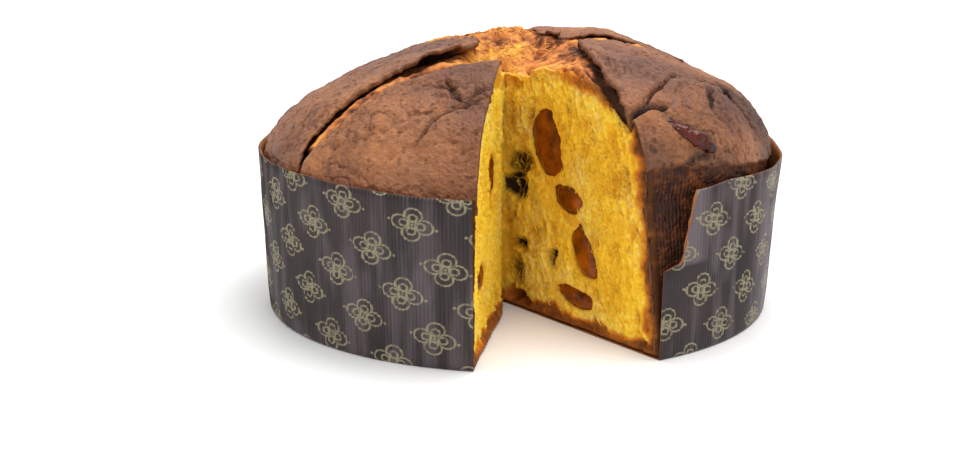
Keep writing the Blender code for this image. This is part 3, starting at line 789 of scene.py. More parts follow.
def crust_finish():
    """Dry brown crust: grey-brown skin, light brown flecks, orange where it is torn; painted shade darkens its
    creases, wrinkles, pits and curled edges, and painted light and shade lie in patches.
    """
    made = Finish("baked_crust", 0.5, Specular_IOR_Level=0.32)
    broad = made.noise(28.0, 4.0)
    fine = made.noise(420.0, 3.0)
    grain = made.noise(1500.0, 2.0)
    skin = made.ramp(broad * 0.75 + fine * 0.30, (0.36, tone(88, 48, 30)), (0.50, tone(120, 72, 45)),
                     (0.66, tone(162, 103, 62)))
    skin = made.mix(made.noise(16.0, 2.0).step(0.45, 0.62) * 0.6, skin, tone(116, 78, 60))
    flecks = made.spots(330.0).step(0.20, 0.06) * made.noise(90.0).step(0.44, 0.62)
    skin = made.mix(flecks * 0.50, skin, tone(180, 128, 88))
    skin = made.mix(made.noise(240.0, 4.0).step(0.50, 0.66) * 0.35, skin, tone(84, 50, 36))
    # dark carries painted shade: creases, wrinkles, pits, curled edges, the ribbed foot and darker patches
    dark = made.mark("dark")
    # Painted light: the lighter patches take a paler brown, partly the crust's own tone
    painted_light_tan = made.ramp(fine * 0.5 + broad * 0.5, (0.35, tone(150, 92, 52)), (0.70, tone(190, 126, 76)))
    skin = made.mix(made.mark("tan").clip(), skin, painted_light_tan)
    covered = made.ramp(fine * 0.55 + made.noise(75.0, 4.0) * 0.5, (0.38, tone(36, 13, 2)),
                        (0.53, tone(68, 29, 5)), (0.68, tone(124, 64, 15)))
    skin = made.mix(made.mark("ribbed").clip(), skin, covered)
    # Painted shade: dark brown where dark is high, near black in the deepest creases
    skin = made.mix(dark.clip(), skin, tone(44, 24, 16))
    skin = made.mix(dark.step(0.95, 1.45), skin, tone(12, 6, 4))
    skin = made.mix(made.mark("torn").clip(), skin, made.ramp(
        fine * 0.6 + broad * 0.5, (0.35, tone(128, 66, 24)), (0.55, tone(186, 112, 44)),
        (0.75, tone(220, 150, 70))))
    made.feed("Base Color", skin)
    made.feed("Roughness", (0.36 + grain * 0.12 + fine * 0.18 + dark * 0.25).clip())
    made.bump(fine * 0.8 + grain * 0.40 + made.spots(700.0) * 0.6, 0.75, 0.0010)
    return made.material


def crumb_finish():
    """Open yellow crumb: painted shade, deeper orange in the pores and dark in the hollows, brown near the
    crust, soft light inside.
    """
    made = Finish("yellow_crumb", 0.75, Specular_IOR_Level=0.2, Subsurface_Weight=0.35,
                  Subsurface_Radius=(0.004, 0.0022, 0.0006), Subsurface_Scale=0.6)
    fine = made.noise(700.0, 3.0)
    broad = made.noise(45.0, 3.0)
    deep = made.mark("deep")
    crumb = made.ramp(broad * 0.55 + fine * 0.55, (0.36, tone(245, 189, 32)), (0.55, tone(255, 212, 60)),
                      (0.72, tone(255, 234, 136)))
    # Painted shade: deeper orange in the pores, dark brown in the hollows
    crumb = made.mix(deep.clip() * 0.58, crumb, tone(210, 142, 8))
    crumb = made.mix(made.mark("hole").step(0.08, 0.46), crumb, tone(46, 26, 4))
    baked = made.mark("baked")
    crumb = made.mix(baked.step(0.05, 0.55), crumb, tone(204, 120, 30))
    crumb = made.mix(baked.step(0.45, 0.85), crumb, tone(126, 72, 28))
    crumb = made.mix(baked.step(0.80, 1.0), crumb, tone(66, 36, 18))
    made.feed("Base Color", crumb)
    made.bump(fine * 0.7 + made.spots(900.0) * 0.5, 0.6, 0.0005)
    return made.material


def torn_finish():
    """Torn bread between the flaps: yellow low down, orange strands, brown where it baked."""
    made = Finish("torn_bread", 0.72, Specular_IOR_Level=0.25, Subsurface_Weight=0.2,
                  Subsurface_Radius=(0.004, 0.002, 0.0006), Subsurface_Scale=0.5)
    fine = made.noise(520.0, 4.0)
    broad = made.noise(110.0, 3.0)
    baked = (made.mark("baked") + (fine - 0.5) * 0.35 + (broad - 0.5) * 0.35).clip()
    bread = made.ramp(baked, (0.00, tone(236, 176, 66)), (0.22, tone(222, 150, 70)),
                      (0.46, tone(200, 122, 60)), (0.68, tone(152, 86, 42)), (0.92, tone(80, 44, 24)))
    made.feed("Base Color", bread)
    made.bump(fine * 0.8 + made.spots(800.0) * 0.4, 0.7, 0.0007)
    return made.material


def side_finish():
    """The side that the paper covered: dark brown, redder in patches, dull."""
    made = Finish("side_crust", 0.62, Specular_IOR_Level=0.3)
    fine = made.noise(380.0, 3.0)
    broad = made.noise(70.0, 3.0)
    skin = made.ramp(broad * 0.7 + fine * 0.4, (0.34, tone(44, 22, 10)), (0.55, tone(70, 38, 18)),
                     (0.76, tone(110, 64, 30)))
    made.feed("Base Color", skin)
    made.bump(fine, 0.6, 0.0006)
    return made.material


def fruit_finish(name, dark, light, roughness, shine):
    """Candied fruit: clear amber to brown, moist, with light going into it."""
    made = Finish(name, roughness, Specular_IOR_Level=shine, Subsurface_Weight=0.25,
                  Subsurface_Radius=(0.004, 0.0012, 0.0003), Subsurface_Scale=0.7)
    broad = made.noise(130.0, 3.0)
    made.feed("Base Color", made.ramp(broad, (0.34, dark), (0.68, light)))
    made.bump(made.noise(420.0, 3.0), 0.55, 0.0008)
    return made.material


def far_from(u, v, out_u, out_v):
    """Distance of a place on the paper from a point of the flower."""
    return ((u - out_u) * (u - out_u) + (v - out_v) * (v - out_v)).do("SQRT")


def gold_flowers(around, height):
    """Where the gold lies on the paper, 0 to 1. Each flower has four rings round its middle, smaller
    rings inside them, and dots; the rows lean, and every second one is set half a step on."""
    sine, cosine = math.sin(PRINT_TURN), math.cos(PRINT_TURN)
    gold = None
    for number in (0, 1):
        right = around * cosine - height * sine - (PRINT_AT[0] + 0.5 * PRINT_STEP * number)
        up = around * sine + height * cosine - (PRINT_AT[1] + PRINT_ROW * number)
        u = abs(right.wrap(0.5 * PRINT_STEP)) * LOOP_STRETCH
        v = abs(up.wrap(PRINT_ROW))
        loops = far_from(u, v, LOOP_OUT, 0.0).do("MINIMUM", far_from(u, v, 0.0, LOOP_OUT)) - LOOP_RADIUS
        motif = abs(loops).step(LOOP_LINE, 0.4 * LOOP_LINE)
        for out_u, out_v, size in PRINT_CURLS:
            curl = abs(far_from(u, v, out_u, out_v) - size).step(LOOP_LINE, 0.4 * LOOP_LINE)
            motif = motif.do("MAXIMUM", curl)
        for out_u, out_v, size in PRINT_DOTS:
            motif = motif.do("MAXIMUM", far_from(u, v, out_u, out_v).step(size, 0.6 * size))
        gold = gold.do("MAXIMUM", motif) if gold else motif
    return gold


def paper_finish():
    """Thin printed baking paper: purple-brown outside with gold flowers, and a painted sheen of pale grey in
    stripes, on creases, on the strip beside the free edge and where it turns to the light; plain light brown
    inside."""
    made = Finish("case_paper", 0.42, Specular_IOR_Level=0.42)
    around = made.mark("around")
    height = made.mark("height")
    fine = made.noise(900.0, 2.0)
    broad = made.noise(40.0, 3.0)
    base = made.ramp(broad * 0.8 + fine * 0.25, (0.35, tone(30, 17, 18)), (0.70, tone(54, 38, 39)))
    # Painted sheen: pale grey laid over the paper in stripes, on creases, beside the free edge and where it
    # turns to the light
    painted_sheen_streaks = made.noise(170.0, 3.0, (1.0, 1.0, 0.10)).step(0.44, 0.66)
    painted_crease_sheen = made.noise(60.0, 2.0, (1.0, 1.0, 0.45)).step(0.58, 0.70)
    painted_free_edge_sheen = around.step(-0.082, -0.090) * height.step(TEAR_Z, TEAR_Z + TEAR_RISE)
    painted_turning_sheen = around.step(-0.060, -0.026) * around.step(0.10, 0.05)
    sheen = painted_sheen_streaks * 0.22 + painted_crease_sheen * 0.16 + painted_free_edge_sheen * 0.50 + painted_turning_sheen * 0.46
    base = made.mix(sheen.clip(), base, tone(138, 126, 132))
    wear_and_painted_light = made.noise(650.0, 3.0).step(0.30, 0.55)
    gold = gold_flowers(around, height) * (0.35 + wear_and_painted_light * 0.50)
    colour = made.mix(gold, base, tone(154, 145, 114))
    inside = made.mark("inside")
    tan = made.ramp(broad, (0.3, tone(120, 66, 30)), (0.7, tone(176, 112, 62)))
    made.feed("Base Color", made.mix(inside.clip(), colour, tan))
    made.feed("Roughness", (0.36 + fine * 0.15 + inside * 0.25).clip())
    made.bump(fine, 0.15, 0.0003)
    return made.material


# Pieces of the loaf

def cut_bearing(face, distance):
    """Bearing, seen from the middle of the cross, of the point of a cut face at a distance."""
    way = RIGHT_CUT if face == "right" else LEFT_CUT
    off = CUT - CROSS
    along = off[0] * math.cos(way) + off[1] * math.sin(way)
    reach = np.sqrt(np.maximum(along ** 2 + distance ** 2 - off @ off, 0.0)) - along
    x, y = off[0] + reach * math.cos(way), off[1] + reach * math.sin(way)
    bearing = np.arctan2(y, x)
    return bearing if face == "right" else bearing + 2.0 * math.pi


def arm_bearing(number, side, distance):
    """Bearing of the edge of an arm at a distance from the middle of the cross. side is 1 for the
    edge on the anticlockwise side and -1 for the other."""
    way, length, wide, narrow, wider = ARMS[number][:5]
    half = arm_half(way + 0.3 * side, length, wide, narrow, wider, distance)
    return way + side * np.arcsin(np.clip(half / distance, 0.0, 0.95))


def crust_relief(points, normals, amount):
    """Leathery skin of the crust: broad dents, knobs, a net of fine wrinkles and small pits. Returns
    the points pushed along their normals, and where the wrinkles and the pits lie."""
    x, y, z = points[..., 0], points[..., 1], points[..., 2]
    dents = rough(x, y, z, 0.012, 3, 61)
    fold = 1.0 - np.abs(rough(x * 1.3, y * 0.7, z, 0.0075, 3, 62)) * 3.2
    fold = np.clip(fold, 0.0, 1.0) ** 3 * smooth(-0.25, 0.35, noise(x, y, z, 0.020, 63))
    pits = smooth(0.42, 0.75, noise(x, y, z, 0.0016, 64))
    fine = rough(x, y, z, 0.0020, 2, 65)
    knobs = rough(x, y, z, 0.0052, 2, 66)
    height = CRUST_DENTS * dents + CRUST_KNOBS * knobs - CRUST_WRINKLES * fold
    height = height - CRUST_PITS * pits + CRUST_GRAIN * fine
    return points + normals * (height * amount)[..., None], fold, pits


def flap_sheet(start, end, tip, columns, rows, foot_z, side_rows):
    """The plain sheet of a flap. Columns spread evenly between its two edges at each distance from the
    middle of the cross; rows climb the side and run in over the dome to the tip. Returns the sheet, its
    distance from the tear, and the depth of its creases."""
    across = np.linspace(0.0, 1.0, columns)[None, :]
    climb = np.linspace(0.0, 1.0, rows)[:, None]
    first, last = start(np.array([SPREAD_AT]))[0], end(np.array([SPREAD_AT]))[0]
    spread = first + (last - first) * across
    rim = ray_to_rim(CROSS, spread, LOAF_RADIUS)
    ragged = 0.0008 * noise(spread * 0.012, spread * 0, spread * 0, 0.003, 8)
    tip_at = tip(spread) + 0.003 * (2.0 * across - 1.0) ** 2 + ragged
    distance = np.cos(climb * np.arccos(np.clip(tip_at / rim, 0.0, 1.0))) * rim
    low, high = start(distance), end(distance)
    bearing = low + (high - low) * across
    reach = ray_to_rim(CROSS, bearing, LOAF_RADIUS)
    distance = np.minimum(distance * reach / rim, reach)
    px, py, z = plain_top(CROSS[0] + distance * np.cos(bearing), CROSS[1] + distance * np.sin(bearing))
    gap, lip, _ = tear(px, py)
    crease_depth = creases(px, py)
    edge_lift = lip * np.exp(-(np.maximum(gap, 0.0) / LIP_WIDTH) ** 2)
    from_cross = np.hypot(px - CROSS[0], py - CROSS[1])
    droop = TIP_DROOP * (1.0 - smooth(*DROOP_REACH, from_cross)) * (py > -0.03)
    droop = droop * smooth(-0.010, 0.006, px)
    top = z + lift(z) * (smooth_rise(px, py) - crease_depth + edge_lift - droop)
    dome = np.stack([px, py, top], -1)
    heights = np.linspace(foot_z, SHOULDER_Z, side_rows, endpoint=False)[:, None]
    foot_bearing = turned(dome[0, :, 0], dome[0, :, 1])[None, :]
    side = side_point(foot_bearing + 0.0 * heights, heights + 0.0 * foot_bearing)
    plain = np.zeros((side_rows, columns))
    gap = np.concatenate([plain + 1.0, gap])
    crease_depth = np.concatenate([plain, crease_depth])
    return np.concatenate([side, dome]), gap, crease_depth


def ribs(sheet):
    """Print of the pleats low on the side. Returns where it shows, from 0 to 1, how far it lies under
    the crust, and how shaded it is."""
    x, y, z = sheet[..., 0], sheet[..., 1], sheet[..., 2]
    around = turned(x, y)
    zero = around * 0
    foot = SHOULDER_Z + 0.0010 + RIBBED_RISE * np.exp(-((around - RIBBED_AT) / RIBBED_SPREAD) ** 2)
    foot = foot + 0.0012 * noise(around * 0.1, zero, zero, 0.006, 67)
    ribbed = 1.0 - smooth(foot - 0.0016, foot + 0.0010, z)
    pleat = np.sin(PLEATS * around + 0.6 * noise(around * 0.1, z, zero, 0.012, 51))
    inset = RIB_INSET + RIB_DEPTH * pleat + 0.0006 * rough(x, y, z, 0.006, 3, 69)
    shadow = ribbed * (0.10 + 0.45 * noise(around * 0.1, z, zero, 0.006, 68) + 0.16 * pleat)
    return ribbed, inset, np.maximum(shadow, 0.0)


def flap_rings(grid, sheet, normals, lip_thick, cut_sides):
    """The edge of a flap: torn edges curl round and under by half circles as thick as the lip, cut edges
    go straight in, and a last ring draws back underneath. Returns the rings, with the painted shade that
    darkens each as the edge turns under, and how torn each is."""
    columns = grid.shape[1]
    loop = border(*grid.shape[:2])
    here = grid.reshape(-1, 3)[loop]
    even = sheet.reshape(-1, 3)[loop]
    up = unit(around_mean(normals.reshape(-1, 3)[loop], 6))
    run = unit(np.roll(even, -2, axis=0) - np.roll(even, 2, axis=0))
    out = unit(np.cross(around_mean(run, 6), up))
    cut = np.zeros(len(loop), dtype=bool)
    for column, is_cut in zip((0, columns - 1), cut_sides):
        if is_cut:
            cut |= (loop % columns == column) & is_cut(loop // columns, grid)
    thick = lip_thick * (1.0 + 0.35 * noise(here[:, 0], here[:, 1], here[:, 2], 0.006, 71))
    near_rim = smooth(0.074, 0.090, np.hypot(here[:, 0], here[:, 1]))
    thick = np.where(cut, KNIFE_EDGE, thick * (1.0 - 0.55 * near_rim))
    rings, dark, torn = [], [], []
    for step in (0.18, 0.38, 0.60, 0.82, 1.0):
        turn = math.pi * step
        wobble = 0.18 * noise(here[:, 0], here[:, 1], here[:, 2] + step, 0.0025, 72) * thick
        rings.append(here + out * (0.5 * thick * math.sin(turn) + wobble)[:, None]
                     - up * (0.5 * thick * (1.0 - math.cos(turn)))[:, None])
        # Painted shade: the ring grows darker as the edge turns under
        dark.append(np.where(cut, 0.45, 0.25 + 0.65 * step))
        torn.append(np.where(cut, 0.1, 0.25 * step))
    rings.append(rings[-1] - out * np.where(cut, 0.0030, 0.0065)[:, None] - up * 0.0012)
    return rings, dark + [0.9], torn + [0.0]


def make_flap(name, start, end, tip, columns, rows, cut_sides, finish, lip_thick=LIP_THICK,
              foot_z=0.0560, side_rows=10, replaced=()):
    """One flap of the crust: its sheet with leathery relief and ribs low on the side, closed round its
    edge. Its marks say where it is darker with painted shade, torn, ribbed, and lighter with painted light
    over its own tone."""
    sheet, gap, crease_depth = flap_sheet(start, end, tip, columns, rows, foot_z, side_rows)
    normals = grid_normals(sheet)
    ribbed, inset, shadow = ribs(sheet)
    grid, fold, pits = crust_relief(sheet, normals, 1.0 - 0.75 * ribbed)
    grid = grid - normals * (inset * ribbed)[..., None]
    rings, ring_dark, ring_torn = flap_rings(grid, sheet, normals, lip_thick, cut_sides)
    centre = grid.mean(axis=(0, 1)) * np.array([0.92, 0.92, 1.0]) - 0.012 * UP
    # Painted light and shade in patches, partly the crust's own tone: above 0 darker, below 0 lighter
    wear_and_painted_light = sum(amount * np.exp(-np.sum((sheet - np.array(at)) ** 2, axis=-1) / size ** 2)
               for *at, size, amount in CRUST_PATCHES)
    # Painted shade in the creases, wrinkles and pits, and the shadow of the ribs on the foot
    dark = 0.85 * smooth(0.0005, 0.0028, crease_depth) + 0.60 * smooth(0.0024, 0.0056, crease_depth)
    dark = dark + 0.40 * fold + 0.35 * pits + np.maximum(wear_and_painted_light, 0.0)
    dark = np.clip(np.where(ribbed > 0.5, shadow, dark), 0.0, 1.6)
    frayed = smooth(-0.2, 0.5, noise(grid[..., 0], grid[..., 1], grid[..., 2], 0.004, 75))
    torn = 0.30 * (1.0 - smooth(0.0, 0.0022, gap)) * frayed
    none = [0.0] * len(rings)
    points, quads, tris, marks = capped(
        grid, rings, centre, {"dark": dark, "torn": torn, "ribbed": ribbed, "tan": np.maximum(-wear_and_painted_light, 0.0)},
        {"dark": ring_dark, "torn": ring_torn, "ribbed": none, "tan": none})
    return mesh_piece(name, points, quads, tris, finish, marks, replaced)


def make_flaps(finish):
    """The four flaps between the arms of the cross and the two faces of the cut. Their edges are given
    as bearings at a distance from the cross, their tips as a distance at a bearing, and the last two
    functions say which rows of an edge the knife cut."""
    def between(number, side):
        return lambda distance: arm_bearing(number, side, distance)

    def right_start(distance):
        return np.maximum(arm_bearing(3, 1, distance) - 2.0 * math.pi, cut_bearing("right", distance))

    def left_end(distance):
        return cut_bearing("left", distance)

    def blunt(spread):
        return np.full(np.shape(spread), HOLLOW_RADIUS)

    def far(spread):
        return np.full(np.shape(spread), FAR_TIP)

    def front(spread):
        return np.maximum(FRONT_TIP / np.maximum(np.abs(np.sin(spread)), 0.5), HOLLOW_RADIUS)

    def right_cut_rows(row, grid):
        x, y = grid[row, 0, 0], grid[row, 0, 1]
        return np.hypot(x - CROSS[0], y - CROSS[1]) > RIGHT_KNIFE_FROM

    def always(row, grid):
        return row >= 0

    make_flap("flap_right", right_start, between(0, -1), far, 370, 202, (right_cut_rows, None), finish,
              foot_z=0.0030, side_rows=44, replaced=("loaf",))
    make_flap("flap_back", between(0, 1), between(1, -1), far, 250, 300, (None, None), finish,
              lip_thick=BACK_LIP_THICK)
    make_flap("flap_left", between(1, 1), between(2, -1), blunt, 250, 320, (None, None), finish)
    make_flap("flap_front", between(2, 1), left_end, front, 190, 330, (None, always), finish)


def make_torn_middle(finish):
    """The torn bread under and between the flaps: columns fan out from the upright edge of the cut,
    rows run from it to near the rim."""
    columns, rows = 560, 170
    hub = CUT + 0.0055 * AWAY
    bearing = np.linspace(RIGHT_CUT, LEFT_CUT, columns)[None, :]
    share = np.linspace(1.0, 0.0, rows)[:, None] ** 1.15
    share = np.maximum(share, 0.002)
    reach = 0.925 * ray_to_rim(hub, bearing, LOAF_RADIUS)
    x, y = hub[0] + share * reach * np.cos(bearing), hub[1] + share * reach * np.sin(bearing)
    grid, baked = torn_top(x, y)
    loop = border(rows, columns)
    here = grid.reshape(-1, 3)[loop]
    centre = np.array([*(CUT + 0.045 * AWAY), 0.060])
    rings = []
    for drop, draw in ((0.0015, 0.01), (0.0060, 0.05), (0.0120, 0.12)):
        ring = here - drop * UP
        ring[:, :2] += (centre[:2] - ring[:, :2]) * draw
        rings.append(ring)
    edge_baked = baked.ravel()[loop]
    points, quads, tris, marks = capped(grid, rings, centre, {"baked": baked},
                                        {"baked": [edge_baked, edge_baked * 0.6, 0.3 + 0 * edge_baked]})
    return mesh_piece("torn_middle", points, quads, tris, finish, marks)


def tubes(paths, radii, sides):
    """Thin closed tubes along many paths at once: each path's points carry a ring square to it, its
    radius falls away at both ends, and each end closes in one point. no_path is a way that no path
    runs along."""
    count, steps = paths.shape[:2]
    run = unit(np.gradient(paths, axis=1))
    no_path = np.array([0.31, 0.22, 0.92])
    side = unit(np.cross(run, no_path))
    up = np.cross(side, run)
    turn = 2.0 * math.pi * np.arange(sides) / sides
    ring = side[:, :, None] * np.cos(turn)[:, None] + up[:, :, None] * np.sin(turn)[:, None]
    body = paths[:, :, None] + ring * radii[:, :, None, None]
    tips = np.stack([paths[:, 0] - run[:, 0] * radii[:, :1], paths[:, -1] + run[:, -1] * radii[:, -1:]], 1)
    points = np.concatenate([body.reshape(count, steps * sides, 3), tips], 1)
    k = np.arange(sides)
    after = (k + 1) % sides
    row = np.arange(steps - 1)[:, None] * sides
    quads = np.stack([row + k, row + after, row + sides + after, row + sides + k], -1).reshape(-1, 4)
    last = (steps - 1) * sides
    tris = np.concatenate([np.stack([0 * k + steps * sides, after, k], -1),
                           np.stack([0 * k + steps * sides + 1, last + k, last + after], -1)])
    offset = np.arange(count)[:, None, None] * (steps * sides + 2)
    return points.reshape(-1, 3), (quads + offset).reshape(-1, 4), (tris + offset).reshape(-1, 3)


def make_torn_strands(finish):
    """Strands and flakes pulled out of the torn bread: each starts at a random spot inside the tear,
    runs mostly away from the upright edge of the cut, and arches a little over the surface."""
    count, steps = 900, 7
    dice = np.random.default_rng(11)
    x = dice.uniform(-0.060, 0.062, 6 * count)
    y = dice.uniform(-0.068, 0.085, 6 * count)
    gap = tear(*plain_top(x, y)[:2])[0]
    off = np.stack([x, y], -1) - CUT
    toward = turned(off[:, 0], off[:, 1])
    behind = np.minimum(np.sin(toward - RIGHT_CUT), np.sin(LEFT_CUT - toward))
    behind = np.hypot(off[:, 0], off[:, 1]) * behind
    free = (gap < 0.0015) & ((behind > 0.003) | ((toward > 0.65) & (toward < 3.0)))
    pick = np.flatnonzero(free)[:count]
    x, y, toward = x[pick], y[pick], toward[pick]
    count = len(pick)
    length = dice.uniform(0.0022, 0.0080, count)
    way = toward + dice.normal(0.0, 0.9, count)
    bend = dice.normal(0.0, 1.3, count)
    t = np.linspace(-0.5, 0.5, steps)[None, :]
    heading = way[:, None] + bend[:, None] * t
    px = x[:, None] + length[:, None] * t * np.cos(heading)
    py = y[:, None] + length[:, None] * t * np.sin(heading)
    surface, baked = torn_top(px, py)
    arch = dice.uniform(0.0, 0.0005, count)[:, None] * (1.0 - 4.0 * t ** 2)
    surface[..., 2] += arch - 0.0001
    thick = dice.uniform(0.00014, 0.00042, count)[:, None] * (1.0 - 3.2 * t ** 2)
    points, quads, tris = tubes(surface, thick, 5)
    tint = np.clip(0.85 * baked + dice.normal(0.0, 0.09, count)[:, None], 0.0, 1.0)
    tint = np.concatenate([np.repeat(tint, 5, axis=1), tint[:, :1], tint[:, -1:]], 1)
    return mesh_piece("torn_strands", points, quads, tris, finish, {"baked": tint})


def make_crumb_strands(face, finish):
    """Short threads of gluten on a cut face, standing a hair's breadth out of the crumb."""
    count, steps = 800, 6
    dice = np.random.default_rng(21 if face == "right" else 22)
    run, into = face_frame(face)
    along = dice.uniform(0.0, 0.067, 3 * count)
    height = dice.uniform(0.006, 0.088, 3 * count)
    keep = height < 0.0900 - 0.030 * smooth(0.035, 0.080, along)
    for spec in FACE_FRUIT:
        if spec[1] == face:
            keep &= fruit_outline(spec, along, height) > 1.15
    pick = np.flatnonzero(keep)[:count]
    along, height = along[pick], height[pick]
    count = len(pick)
    length = dice.uniform(0.0015, 0.0048, count)[:, None]
    way = (1.9 if face == "right" else 1.2) + dice.normal(0.0, 0.75, count)[:, None]
    t = np.linspace(-0.5, 0.5, steps)[None, :]
    heading = way + dice.normal(0.0, 0.9, count)[:, None] * t
    a = along[:, None] + length * t * np.cos(heading)
    h = height[:, None] + length * t * np.sin(heading)
    depth = crumb_relief(face, a, h, 0.0 * a + 0.01)[0] + face_bow(face, a)
    depth = depth - dice.uniform(0.0, 0.0006, count)[:, None] * (1.0 - 4.0 * t ** 2)
    centre = np.array([CUT[0], CUT[1], 0.0])
    paths = centre + a[..., None] * run + h[..., None] * UP + depth[..., None] * into
    thick = dice.uniform(0.00010, 0.00024, count)[:, None] * (1.0 - 3.0 * t ** 2)
    points, quads, tris = tubes(paths, thick, 4)
    light = np.zeros(len(points))
    return mesh_piece("crumb_strands_" + face, points, quads, tris, finish,
                      {"baked": light, "deep": light})


def crumb_relief(face, along, height, edge):
    """Depth of the crumb into the face: swells, strands, three sizes of pores and some hollows, calmer
    near the outline, to which edge is the distance. Both faces swell out unevenly where they meet, so that the
    upright edge is buried and wanders. Returns the depth, its painted shade, darker in the pores and
    hollows and by the upright edge, with darker patches at random, and how far it is painted as a dark,
    shaded hollow."""
    seed = 100 if face == "right" else 200
    zero = along * 0.0
    wx = along + 0.0010 * noise(along, height, zero, 0.0040, seed) + 0.0004 * noise(
        along, height, zero, 0.0014, seed + 1)
    wy = height + 0.0010 * noise(along, height, zero + 1, 0.0040, seed + 2) + 0.0004 * noise(
        along, height, zero + 1, 0.0014, seed + 3)
    lean = 0.35 if face == "right" else -0.35
    sx, sy = wx + lean * wy, wy * 0.62
    swell = rough(along, height, zero, 0.014, 2, seed + 4)
    strands = rough(sx * 1.6, sy * 0.7, zero, 0.0034, 3, seed + 5)
    small = pores(sx * 1.15, sy, SMALL_PORES[0], seed + 6)
    middle = pores(sx, sy, MIDDLE_PORES[0], seed + 7)
    middle = middle * smooth(-0.35, 0.25, noise(along, height, zero, 0.007, seed + 8))
    large = pores(sx, sy, LARGE_PORES[0], seed + 9)
    large = large * smooth(0.10, 0.45, noise(along, height, zero, 0.012, seed + 10))
    fine = rough(along, height, zero, 0.0008, 2, seed + 11)
    threads = 1.0 - np.clip(np.abs(rough(sx * 1.5, sy * 0.6, zero, 0.0017, 2, seed + 12)) * 3.0, 0.0, 1.0)
    depth = CRUMB_SWELL * swell + CRUMB_STRANDS * strands + SMALL_PORES[1] * small
    depth = depth + MIDDLE_PORES[1] * middle + LARGE_PORES[1] * large
    depth = depth + CRUMB_GRAIN * fine - CRUMB_THREADS * threads
    # Painted shade and light: darker in the pores, lighter on the raised threads
    shade = 0.50 * small + 0.70 * middle + 0.85 * large + 0.35 * strands - 0.35 * threads
    hole = 0.0 * along
    # Each hollow gets painted shade, and its deep part is painted as a dark hollow
    for hollow_face, at, up, half_along, half_up, deep in CRUMB_HOLLOWS:
        if hollow_face == face:
            near = np.hypot((wx - at) / half_along, (wy - up) / half_up)
            bowl = 1.0 - smooth(0.25, 1.15, near + 0.35 * strands)
            depth = depth + deep * bowl
            shade = shade + 0.5 * bowl
            hole = np.maximum(hole, bowl * min(1.0, deep / DARK_DEPTH))
    hole = hole * (0.90 + 0.55 * strands - 0.30 * threads)
    # Painted shade in the inner corner by the upright edge
    by_upright = (1.0 - smooth(-0.002, 0.018, along)) * (1.0 - 0.5 * smooth(0.060, 0.085, height))
    shade = shade + 0.50 * by_upright
    shade = shade + 0.28 * smooth(0.05, 0.60, noise(along, height, zero, 0.016, seed + 13))
    first = -RUN_ON[face]
    calm = (0.25 + 0.75 * smooth(0.0, 0.0022, edge)) * smooth(first, first + 0.0028, along)
    swollen = 0.0007 + 0.0009 * noise(zero, height, zero + 3, 0.0050, seed + 14)
    swollen = swollen * np.exp(-((along - first) / 0.0042) ** 2)
    drawn = LEFT_DRAWN * (1.0 - smooth(0.0, LEFT_DRAWN_REACH, along)) if face == "left" else 0.0
    return depth * calm - swollen + drawn, shade, hole


def fruit_outline(spec, along, height):
    """How far out of a fruit's outline a point of the face is: 1 on it, less inside."""
    _, _, at, up, wide, high, _, turn, bend = spec
    u, v = along - at, height - up
    across = u * math.cos(turn) + v * math.sin(turn)
    climb = -u * math.sin(turn) + v * math.cos(turn)
    across = across - bend * wide * (climb / high) ** 2
    return np.hypot(across / wide, climb / high)


def face_edges(face, columns, rows):
    """The outline of a cut face as four curves: base, outside, top, and upright edge."""
    way = RIGHT_CUT if face == "right" else LEFT_CUT
    side_points, top_points = 200, 400
    bearing = rim_bearing(way, LOAF_RADIUS)
    levels = np.linspace(0.0, 1.0, rows)
    reach = ray_to_rim(CUT, np.array(way), LOAF_RADIUS)
    side = side_point(np.full(side_points, bearing), np.linspace(BASE_Z, SHOULDER_Z, side_points))
    angle = 0.5 * math.pi * np.linspace(0.0, 1.0, top_points)
    off = (reach + RUN_ON[face]) * np.cos(angle) - RUN_ON[face]
    x = CUT[0] + off * math.cos(way)
    y = CUT[1] + off * math.sin(way)
    px, py, z = plain_top(x, y)
    crust = z + lift(z) * (smooth_rise(px, py) - creases(px, py)) - UNDER_CRUST
    torn = torn_top(x, y)[0][:, 2]
    from_cross = np.hypot(px - CROSS[0], py - CROSS[1])
    bare = 1.0 - smooth(*CRUST_FROM[face], from_cross)
    top = torn * bare + crust * (1.0 - bare)
    over = np.stack([px, py, top], -1)
    line = np.concatenate([side[:-1], over])
    length = np.concatenate([[0.0], np.cumsum(np.linalg.norm(np.diff(line, axis=0), axis=1))])
    corner = length[side_points - 1] + CORNER_UP

    def cut_line(values):
        return np.stack([np.interp(values, length, line[:, k]) for k in range(3)], -1)

    outside = cut_line(levels * corner)
    top_line = cut_line(corner + (1.0 - np.linspace(0.0, 1.0, columns)) * (length[-1] - corner))
    upright = np.stack([np.full(rows, x[-1]), np.full(rows, y[-1]),
                        BASE_Z + (top_line[0, 2] - BASE_Z) * levels], -1)
    base = upright[0] + (outside[0] - upright[0]) * np.linspace(0.0, 1.0, columns)[:, None]
    return base, outside, top_line, upright


def crumb_baked(along, height, outer, upper, low):
    """How baked the crumb is, 0 to 1: brown bands of uneven width along its outside, its base and its
    top, which is paler towards the middle of the loaf."""
    zero = along * 0
    outer = outer + 0.0036 * rough(along, height, zero, 0.0050, 3, 31)
    low = low + 0.0040 * rough(along, height, zero, 0.0090, 3, 32)
    upper = upper + 0.0040 * rough(along, height, zero, 0.0050, 3, 33)
    mottled = 0.14 * rough(along, height, zero, 0.0030, 2, 34)
    top_band = 0.0072 + 0.0048 * smooth(0.028, 0.050, along)
    amber = 0.30 + 0.44 * smooth(0.020, 0.046, along)
    outside = 0.95 * (1.0 - smooth(0.0, 0.0098, outer))
    base = (0.78 + mottled) * (1.0 - smooth(0.0014, 0.0066, low))
    top = amber * (1.0 - smooth(0.0, 1.0, upper / top_band))
    return np.clip(np.maximum(np.maximum(outside, base), top), 0.0, 1.0)


